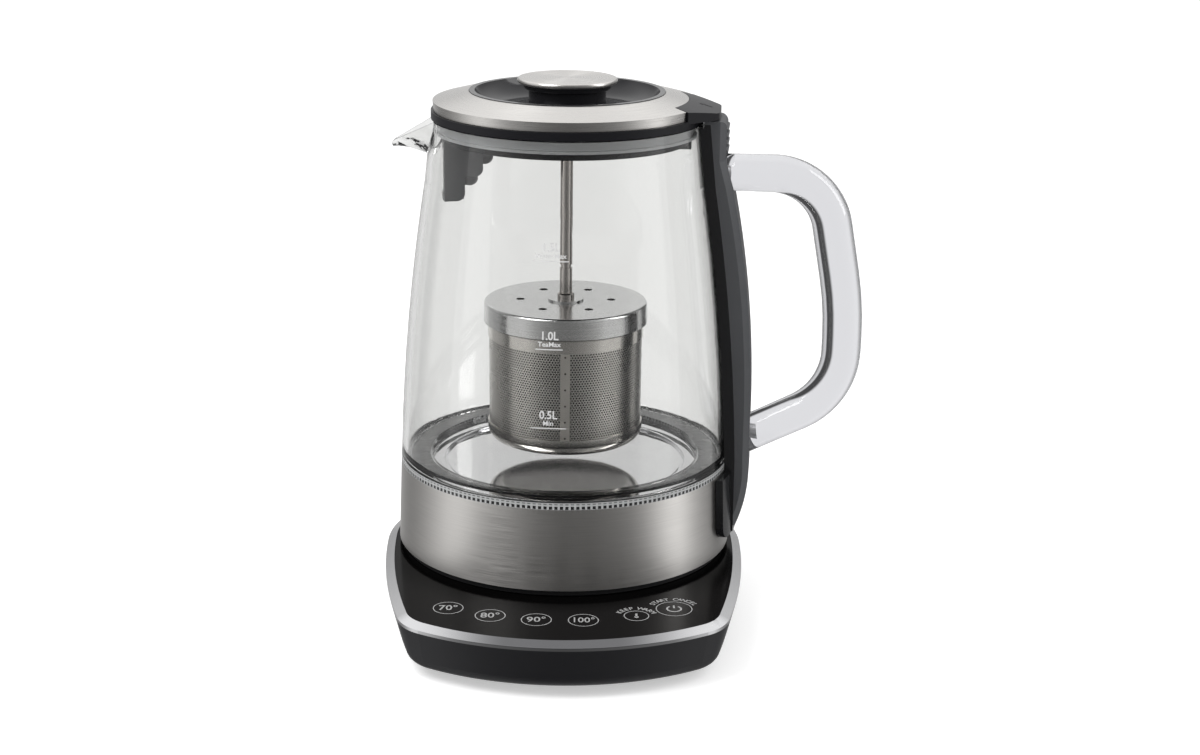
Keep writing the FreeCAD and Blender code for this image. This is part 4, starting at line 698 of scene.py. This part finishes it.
def rounded_line(corners, bends, step):
    """Points along a line through corners, each corner rounded to its bend radius."""
    line = [corners[0]]
    for before, corner, after, bend in zip(corners, corners[1:], corners[2:], bends):
        first, second = (corner - before).normalized(), (after - corner).normalized()
        turn = math.atan2(first.x * second.y - first.y * second.x, first.dot(second))
        start = corner - first * bend * math.tan(abs(turn) / 2)
        inward = Vector((-first.y, first.x)) * math.copysign(bend, turn)
        count = max(3, round(abs(turn) / math.radians(4)))
        for index in range(count + 1):
            line.append(start + inward - Matrix.Rotation(turn * index / count, 2) @ inward)
    line.append(corners[-1])
    even = [line[0]]
    for a, b in zip(line, line[1:]):
        parts = max(1, math.ceil((b - a).length / step))
        even += [a.lerp(b, index / parts) for index in range(1, parts + 1)]
    return even


def swept_bar(name, line, depths, width, turn, sides=48):
    """A solid bar of oval section along a line in an upright plane through the axis."""
    clear_selection()
    bpy.ops.mesh.primitive_grid_add(x_subdivisions=len(line) - 1, y_subdivisions=sides, size=1.0)
    bar_piece = settle(name)
    for vertex in bar_piece.data.vertices:
        index = round((vertex.co.x + 0.5) * (len(line) - 1))
        angle = (vertex.co.y + 0.5) * 2 * math.pi
        ahead = line[min(index + 1, len(line) - 1)] - line[max(index - 1, 0)]
        ahead.normalize()
        share = math.sin(math.pi * index / (len(line) - 1))
        depth = depths[0] + (depths[1] - depths[0]) * share
        reach = line[index].x - ahead.y * depth * math.cos(angle)
        height = line[index].y + ahead.x * depth * math.cos(angle)
        vertex.co = (reach, width * math.sin(angle), height)
    bar_piece.data.transform(Matrix.Rotation(turn, 4, "Z"))
    bpy.ops.object.mode_set(mode="EDIT")
    bpy.ops.mesh.select_all(action="SELECT")
    bpy.ops.mesh.remove_doubles(threshold=0.001 * MM)
    bpy.ops.mesh.fill_holes(sides=sides)
    bpy.ops.mesh.select_all(action="SELECT")
    bpy.ops.mesh.normals_make_consistent(inside=False)
    bpy.ops.object.mode_set(mode="OBJECT")
    bpy.ops.object.shade_smooth()
    return bar_piece


def finish_piece(piece, body, finish):
    """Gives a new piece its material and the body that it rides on."""
    piece.data.materials.clear()
    piece.data.materials.append(finish.material)
    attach(piece, body)
    return piece


# ---------------------------------------------------------------- operators
class TEAMAKER_OT_dock(bpy.types.Operator):
    """Finishes the power dock: housing, trim, panel, feet and what it holds."""

    bl_idname = "teamaker.dock"
    bl_label = "Finish Dock"

    def execute(self, context):
        black = tuple(context.scene.teamaker_finish.moulding)
        assign(moulded("Dock Satin Black", black, roughness=0.42), "base_housing", "base_bottom_plate")
        assign(moulded("Dock Rubber", (0.03, 0.03, 0.03), roughness=0.8, grain=600.0, depth=0.2),
               "base_feet", "cord_gland")
        assign(trim_metal("Dock Bright Trim"), "base_trim")
        assign(panel_gloss("Panel Gloss Black", (0.0085, 0.008, 0.008)), "control_panel")
        assign(moulded("Dock Plate Matt", (0.03, 0.03, 0.032), roughness=0.5), "dock_plate")
        assign(moulded("Connector Black", (0.035, 0.035, 0.037), roughness=0.35), "base_connector")
        assign(moulded("Board Green", (0.02, 0.11, 0.05), roughness=0.4, grain=300.0), "control_board")
        assign(polished("Contact Wire", (0.6, 0.58, 0.5), roughness=0.25), "touch_springs", "board_screws")
        return {"FINISHED"}


class TEAMAKER_OT_steel(bpy.types.Operator):
    """Finishes the steel band, the lid's ring, the knob, the cap, the rod and the heating plate."""

    bl_idname = "teamaker.steel"
    bl_label = "Finish Steel"

    def execute(self, context):
        look = context.scene.teamaker_finish
        steel, lines = tuple(look.steel), look.brush_lines
        upright = 0.25
        for name, node, roughness, stretch in (("Band Brushed Steel", "steel_band", 0.34, 0.85),
                                               ("Lid Brushed Steel", "lid_steel_ring", 0.28, 0.8),
                                               ("Knob Brushed Steel", "knob_disc", 0.27, 0.8)):
            assign(brushed_round(name, steel, roughness, lines, stretch=stretch, turned=upright), node)
        assign(brushed_round("Cap Steel", (0.6, 0.6, 0.6), 0.16, lines * 0.8, depth=0.03, stretch=0.3),
               "basket_cap")
        assign(polished("Plate Mirror Steel", (0.66, 0.66, 0.67), roughness=0.05, smear=0.02),
               "heating_plate")
        assign(plate_rim("Plate Rim Satin"), "plate_seal")
        assign(polished("Rod Steel", (0.5, 0.47, 0.45), roughness=0.16),
               "rod", "rod_collar", "detent_ball", "detent_spring")
        assign(polished("Stud Bright Steel", (0.9, 0.9, 0.9), roughness=0.3), "handle_studs")
        assign(polished("Element Metal", (0.45, 0.45, 0.45), roughness=0.35), "heating_element")
        return {"FINISHED"}


class TEAMAKER_OT_glass(bpy.types.Operator):
    """Finishes the glass jug and the ribbed ring."""

    bl_idname = "teamaker.glass"
    bl_label = "Finish Glass"

    def execute(self, context):
        tint = tuple(context.scene.teamaker_finish.glass)
        assign(clear("Jug Glass", tint, ior=1.47, ripple=0.02), "glass_jug")
        assign(ribbed_ring("Ribbed Clear Ring", (0.58, 0.59, 0.59), count=200), "junction_ring")
        return {"FINISHED"}


class TEAMAKER_OT_handle(bpy.types.Operator):
    """Makes the clear handle as one smoothly bent bar."""

    bl_idname = "teamaker.handle"
    bl_label = "Make Handle"

    def execute(self, context):
        shape = context.scene.teamaker_handle
        corners = (shape.root, shape.shoulder, shape.bow, shape.elbow, shape.foot)
        line = rounded_line([Vector(corner) for corner in corners], shape.bends, step=5 * MM)
        piece = swept_bar("clear_handle", line, shape.half_depth, shape.half_width, shape.turn)
        acrylic = clear("Handle Clear Acrylic", (0.765, 0.767, 0.792), ior=1.49, ripple=0.08)
        finish_piece(piece, "kettle", acrylic)
        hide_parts("handle")
        return {"FINISHED"}


class TEAMAKER_OT_lid(bpy.types.Operator):
    """Finishes the lid's mouldings, bowl, seal and strainer, and prints the mark on its tab."""

    bl_idname = "teamaker.lid"
    bl_label = "Finish Lid"

    def tab_mark(self, sizes):
        """The small dark arrow on the lid's tab."""
        stroke = bar(5.4 * MM, 1.4 * MM, sizes.ink, cuts=6)
        head = shift(bar(1.5 * MM, 3.2 * MM, sizes.ink, cuts=2), x=-1.9 * MM)
        mark = drop_on(joined([stroke, head], "tab_arrow"), "lid_body", x=60.3 * MM, y=-7.6 * MM,
                       turn=math.radians(-18.0), lift=sizes.lift)
        finish_piece(mark, "lid", printed("Tab Mark", (0.008, 0.008, 0.009)))

    def execute(self, context):
        black = tuple(context.scene.teamaker_finish.moulding)
        assign(moulded("Lid Satin Black", black, roughness=0.36, shine=0.18), "lid_body", "rod_guide")
        assign(glossy("Bowl Gloss Black", (0.014, 0.014, 0.016), roughness=0.12, shine=0.35),
               "lid_bowl", "knob_rim", "knob_stem")
        assign(moulded("Seal Silicone", (0.62, 0.63, 0.64), roughness=0.35, grain=300.0), "lid_seal")
        assign(moulded("Strainer Smoke", (0.12, 0.122, 0.127), roughness=0.35), "strainer_frame")
        assign(perforated_wall("Strainer Mesh", (0.45, 0.45, 0.45), 0.3, pitch=1.0 * MM, hole=0.36 * MM),
               "strainer_mesh")
        self.tab_mark(context.scene.teamaker_print)
        return {"FINISHED"}


class TEAMAKER_OT_spine(bpy.types.Operator):
    """Finishes the spine, its gasket and cover, and the kettle's black underside."""

    bl_idname = "teamaker.spine"
    bl_label = "Finish Spine"

    def execute(self, context):
        cover = tuple(context.scene.teamaker_finish.cover)
        assign(glossy("Spine Gloss Black", (0.012, 0.012, 0.013), roughness=0.16),
               "spine_body", "spine_gasket")
        assign(moulded("Spine Cover Matt", cover, roughness=0.48, grain=1200.0), "spine_cover")
        assign(moulded("Kettle Underside", (0.015, 0.015, 0.016), roughness=0.45),
               "bottom_cover", "power_socket")
        assign(glossy("Thermostat Black", (0.02, 0.02, 0.02), roughness=0.3), "thermostat")
        return {"FINISHED"}


class TEAMAKER_OT_basket(bpy.types.Operator):
    """Finishes the tea basket with its fine perforation, seam strip and solid bands."""

    bl_idname = "teamaker.basket"
    bl_label = "Finish Basket"

    def execute(self, context):
        look = context.scene.teamaker_finish
        steel = (0.58, 0.56, 0.53)
        assign(perforated("Basket Perforated Steel", steel, 0.27, BASKET_SHEET_RADIUS, look.hole_pitch,
                          look.hole_radius, BASKET_LOW.z, BASKET_HIGH.z), "basket_wall")
        assign(perforated_floor("Basket Floor Steel", steel, 0.14, look.hole_pitch, look.hole_radius,
                                reach=28 * MM), "basket_bottom")
        assign(basket_band("Basket Band Steel", steel, roughness=0.12), "basket_top_band")
        assign(seam_strip("Basket Seam Steel", (0.66, 0.63, 0.59), pitch=7.4 * MM, spot=0.6 * MM),
               "basket_seam")
        return {"FINISHED"}


class TEAMAKER_OT_levels(bpy.types.Operator):
    """Prints the three litre marks on the jug."""

    bl_idname = "teamaker.levels"
    bl_label = "Print Levels"

    def execute(self, context):
        sizes = context.scene.teamaker_print
        # The jug's ink glows a little: painted light.
        ink = printed("Jug Print", tuple(context.scene.teamaker_finish.ink), glow=0.12)
        for name, litres, word, height, length in LITRE_MARKS:
            pieces = [
                shift(lettering(litres, LITRE_HEIGHT, 0.92, sizes.ink, bold=0.1 * MM), y=5.6 * MM),
                shift(lettering(word, LEVEL_WORD_HEIGHT, 1.08, sizes.ink, bold=0.05 * MM), y=2.1 * MM),
                shift(bar(length, 0.4 * MM, sizes.ink, cuts=24), z=-sizes.ink / 2),
            ]
            mark = wrap_on(joined(pieces, name), "glass_jug", sizes.level_angle, height, sizes.lift)
            finish_piece(mark, "kettle", ink)
        return {"FINISHED"}


class TEAMAKER_OT_fields(bpy.types.Operator):
    """Prints the touch fields on the panel: four temperatures, keep warm and start."""

    bl_idname = "teamaker.fields"
    bl_label = "Print Fields"

    def arc_words(self, words, radius, step, ink):
        """Small letters on an arc over a field."""
        letters = []
        start = math.pi / 2 + step * (len(words) - 1) / 2
        for index, letter in enumerate(words):
            if letter == " ":
                continue
            a = start - step * index
            piece = lettering(letter, FIELD_WORD_HEIGHT, 0.95, ink, bold=0.05 * MM)
            letters.append(shift(piece, radius * math.cos(a), radius * math.sin(a), 0.0, a - math.pi / 2))
        return letters

    def power_sign(self, size, ink):
        """An open ring with an upright stroke in its gap."""
        circle = open_hoop(hoop(size, size * 0.26, ink, segments=40), math.pi / 2, math.radians(36))
        stroke = shift(bar(size * 0.26, size * 0.95, ink), y=size * 0.72, z=-ink / 2)
        return [circle, stroke]

    def warm_sign(self, size, ink):
        """A thermometer: a bulb and a stem."""
        clear_selection()
        bpy.ops.mesh.primitive_cylinder_add(vertices=24, radius=size * 0.42, depth=ink,
                                            location=(0, -size * 0.55, 0))
        bulb = settle()
        stem = shift(bar(size * 0.4, size * 1.5, ink), y=size * 0.3, z=-ink / 2)
        return [bulb, stem]

    def print_field(self, parts, name, degrees, reach, lift, ink):
        """Joins a field's print and lays it on the panel, at an angle and a reach from the axis."""
        a = math.radians(degrees)
        field = shift(joined(parts, name), reach * math.cos(a), reach * math.sin(a), PANEL_FACE + lift)
        finish_piece(field, "base", ink)

    def execute(self, context):
        sizes = context.scene.teamaker_print
        # The panel's ink glows faintly: painted light.
        ink = printed("Panel Print", (0.34, 0.34, 0.34), glow=0.03)
        thick = sizes.ink
        for name, words, degrees, narrow in TEMPERATURE_FIELDS:
            parts = [hoop(sizes.field_radius, sizes.line_width, thick),
                     lettering(words, FIGURE_HEIGHT, narrow, thick, bold=0.06 * MM)]
            self.print_field(parts, name, degrees, sizes.field_circle, sizes.lift, ink)
        signs = (self.warm_sign(2.2 * MM, thick), self.power_sign(3.0 * MM, thick))
        for sign, (name, words, degrees, reach, radius, words_radius, step) in zip(signs, WORD_FIELDS):
            parts = [hoop(radius, sizes.line_width, thick)] + sign
            parts += self.arc_words(words, words_radius, math.radians(step), thick)
            self.print_field(parts, name, degrees, reach, sizes.lift, ink)
        return {"FINISHED"}


class TEAMAKER_OT_stage(bpy.types.Operator):
    """Sets the pale floor, the soft studio light and the camera."""

    bl_idname = "teamaker.stage"
    bl_label = "Set Stage"

    def floor(self, stage):
        """The pale floor, which the camera sees and mirrors and glass don't."""
        clear_selection()
        bpy.ops.mesh.primitive_plane_add(size=stage.floor_size, location=(0, 0, -0.2 * MM))
        plane = settle("studio_floor")
        f = Finish("Studio Floor")
        f.tint((0.8, 0.8, 0.8), f.cloud(3.0, 2.0), 0.995, 1.005)
        f.set(roughness=0.9)
        path = f.add("ShaderNodeLightPath")
        glow = f.add("ShaderNodeEmission")
        f.wire(f.times(path.outputs["Is Camera Ray"], stage.floor_glow), glow.inputs["Strength"])
        both = f.add("ShaderNodeAddShader")
        f.wire(f.shader.outputs[0], both.inputs[0])
        f.wire(glow.outputs[0], both.inputs[1])
        f.wire(both.outputs[0], f.output.inputs["Surface"])
        plane.data.materials.append(f.material)
        plane.visible_glossy = False
        plane.visible_transmission = False

    def room(self, scene, stage):
        """White to the camera, and a soft studio of its own in mirrors and through glass."""
        world = bpy.data.worlds.new("Studio Room")
        scene.world = world
        world.use_nodes = True
        room = Nodes(world.node_tree)
        back = room.first("BACKGROUND")
        back.inputs["Color"].default_value = WHITE
        back.inputs["Strength"].default_value = stage.room_light
        x, y, z = room.parts("Generated")
        side = room.math("ARCTAN2", x, room.times(y, -1.0))
        side = room.math("DIVIDE", room.math("ABSOLUTE", side), math.pi)
        turn = room.math("ADD", room.math("DIVIDE", room.math("ARCTAN2", x, y), math.pi), 0.5)
        bent = room.mix(room.math("LESS_THAN", y, 0.0), room.ramp(turn, THROUGH_LEVELS, "EASE"),
                        room.ramp(side, FRONT_LEVELS, "B_SPLINE"))
        top = room.step(y, -0.35, 0.3, stage.top_light * 0.25, stage.top_light)
        mirrored = room.mix(room.step(z, 0.1, 0.6), room.ramp(side, MIRROR_LEVELS, "B_SPLINE"), top)
        path = room.add("ShaderNodeLightPath")
        last = back
        rays = (("Is Glossy Ray", mirrored), ("Is Transmission Ray", bent), ("Is Camera Ray", WHITE))
        for ray, colour in rays:
            seen = room.add("ShaderNodeBackground")
            room.feed(seen.inputs["Color"], colour)
            switch = room.add("ShaderNodeMixShader")
            room.wire(path.outputs[ray], switch.inputs[0])
            room.wire(last.outputs[0], switch.inputs[1])
            room.wire(seen.outputs[0], switch.inputs[2])
            last = switch
        room.wire(last.outputs[0], room.first("OUTPUT_WORLD").inputs["Surface"])

    def lamp(self, name, place, size, power):
        clear_selection()
        bpy.ops.object.light_add(type="AREA", location=place)
        lamp = bpy.context.object
        lamp.name = name
        lamp.data.shape = "RECTANGLE"
        lamp.data.size, lamp.data.size_y = size
        lamp.data.energy = power
        aim = Vector(LAMP_AIM) - Vector(place)
        lamp.rotation_euler = aim.to_track_quat("-Z", "Y").to_euler()

    def camera(self, scene, lens):
        clear_selection()
        bpy.ops.object.camera_add()
        camera = bpy.context.object
        camera.name = "studio_camera"
        turn = Matrix((CAMERA_RIGHT, CAMERA_UP, -Vector(CAMERA_AHEAD))).transposed().to_4x4()
        camera.matrix_world = Matrix.Translation(CAMERA_PLACE) @ turn
        camera.data.lens = lens
        camera.data.sensor_fit = "HORIZONTAL"
        camera.data.sensor_width = 36.0
        camera.data.clip_start = 0.01
        camera.data.clip_end = 50.0
        scene.camera = camera

    def execute(self, context):
        stage = context.scene.teamaker_stage
        self.floor(stage)
        self.room(context.scene, stage)
        self.lamp("key_lamp", *KEY_LAMP, stage.key_power)
        self.lamp("fill_lamp", *FILL_LAMP, stage.fill_power)
        self.camera(context.scene, stage.lens)
        context.scene.view_settings.view_transform = "Standard"
        return {"FINISHED"}


class TEAMAKER_PT_panel(bpy.types.Panel):
    """Lists the tea maker's tools and sizes."""

    bl_label = "Tea Maker"
    bl_idname = "TEAMAKER_PT_panel"
    bl_space_type = "VIEW_3D"
    bl_region_type = "UI"
    bl_category = "Tea Maker"

    def draw(self, context):
        layout = self.layout
        for operator in OPERATORS:
            layout.operator(operator.bl_idname)
        scene = context.scene
        groups = (scene.teamaker_print, scene.teamaker_handle, scene.teamaker_finish, scene.teamaker_stage)
        for group in groups:
            box = layout.box()
            for key in group.__annotations__:
                box.prop(group, key)


OPERATORS = (
    TEAMAKER_OT_dock, TEAMAKER_OT_steel, TEAMAKER_OT_glass, TEAMAKER_OT_handle, TEAMAKER_OT_lid,
    TEAMAKER_OT_spine, TEAMAKER_OT_basket, TEAMAKER_OT_levels, TEAMAKER_OT_fields, TEAMAKER_OT_stage,
)
GROUPS = (TeaMakerPrint, TeaMakerHandle, TeaMakerFinish, TeaMakerStage)


def register():
    for cls in GROUPS + OPERATORS + (TEAMAKER_PT_panel,):
        bpy.utils.register_class(cls)
    bpy.types.Scene.teamaker_print = bpy.props.PointerProperty(type=TeaMakerPrint)
    bpy.types.Scene.teamaker_handle = bpy.props.PointerProperty(type=TeaMakerHandle)
    bpy.types.Scene.teamaker_finish = bpy.props.PointerProperty(type=TeaMakerFinish)
    bpy.types.Scene.teamaker_stage = bpy.props.PointerProperty(type=TeaMakerStage)


def unregister():
    del bpy.types.Scene.teamaker_stage
    del bpy.types.Scene.teamaker_finish
    del bpy.types.Scene.teamaker_handle
    del bpy.types.Scene.teamaker_print
    for cls in reversed(GROUPS + OPERATORS + (TEAMAKER_PT_panel,)):
        bpy.utils.unregister_class(cls)


def main():
    register()
    bpy.ops.teamaker.dock()
    bpy.ops.teamaker.steel()
    bpy.ops.teamaker.glass()
    bpy.ops.teamaker.handle()
    bpy.ops.teamaker.lid()
    bpy.ops.teamaker.spine()
    bpy.ops.teamaker.basket()
    bpy.ops.teamaker.levels()
    bpy.ops.teamaker.fields()
    bpy.ops.teamaker.stage()


if __name__ == "__main__":
    main()
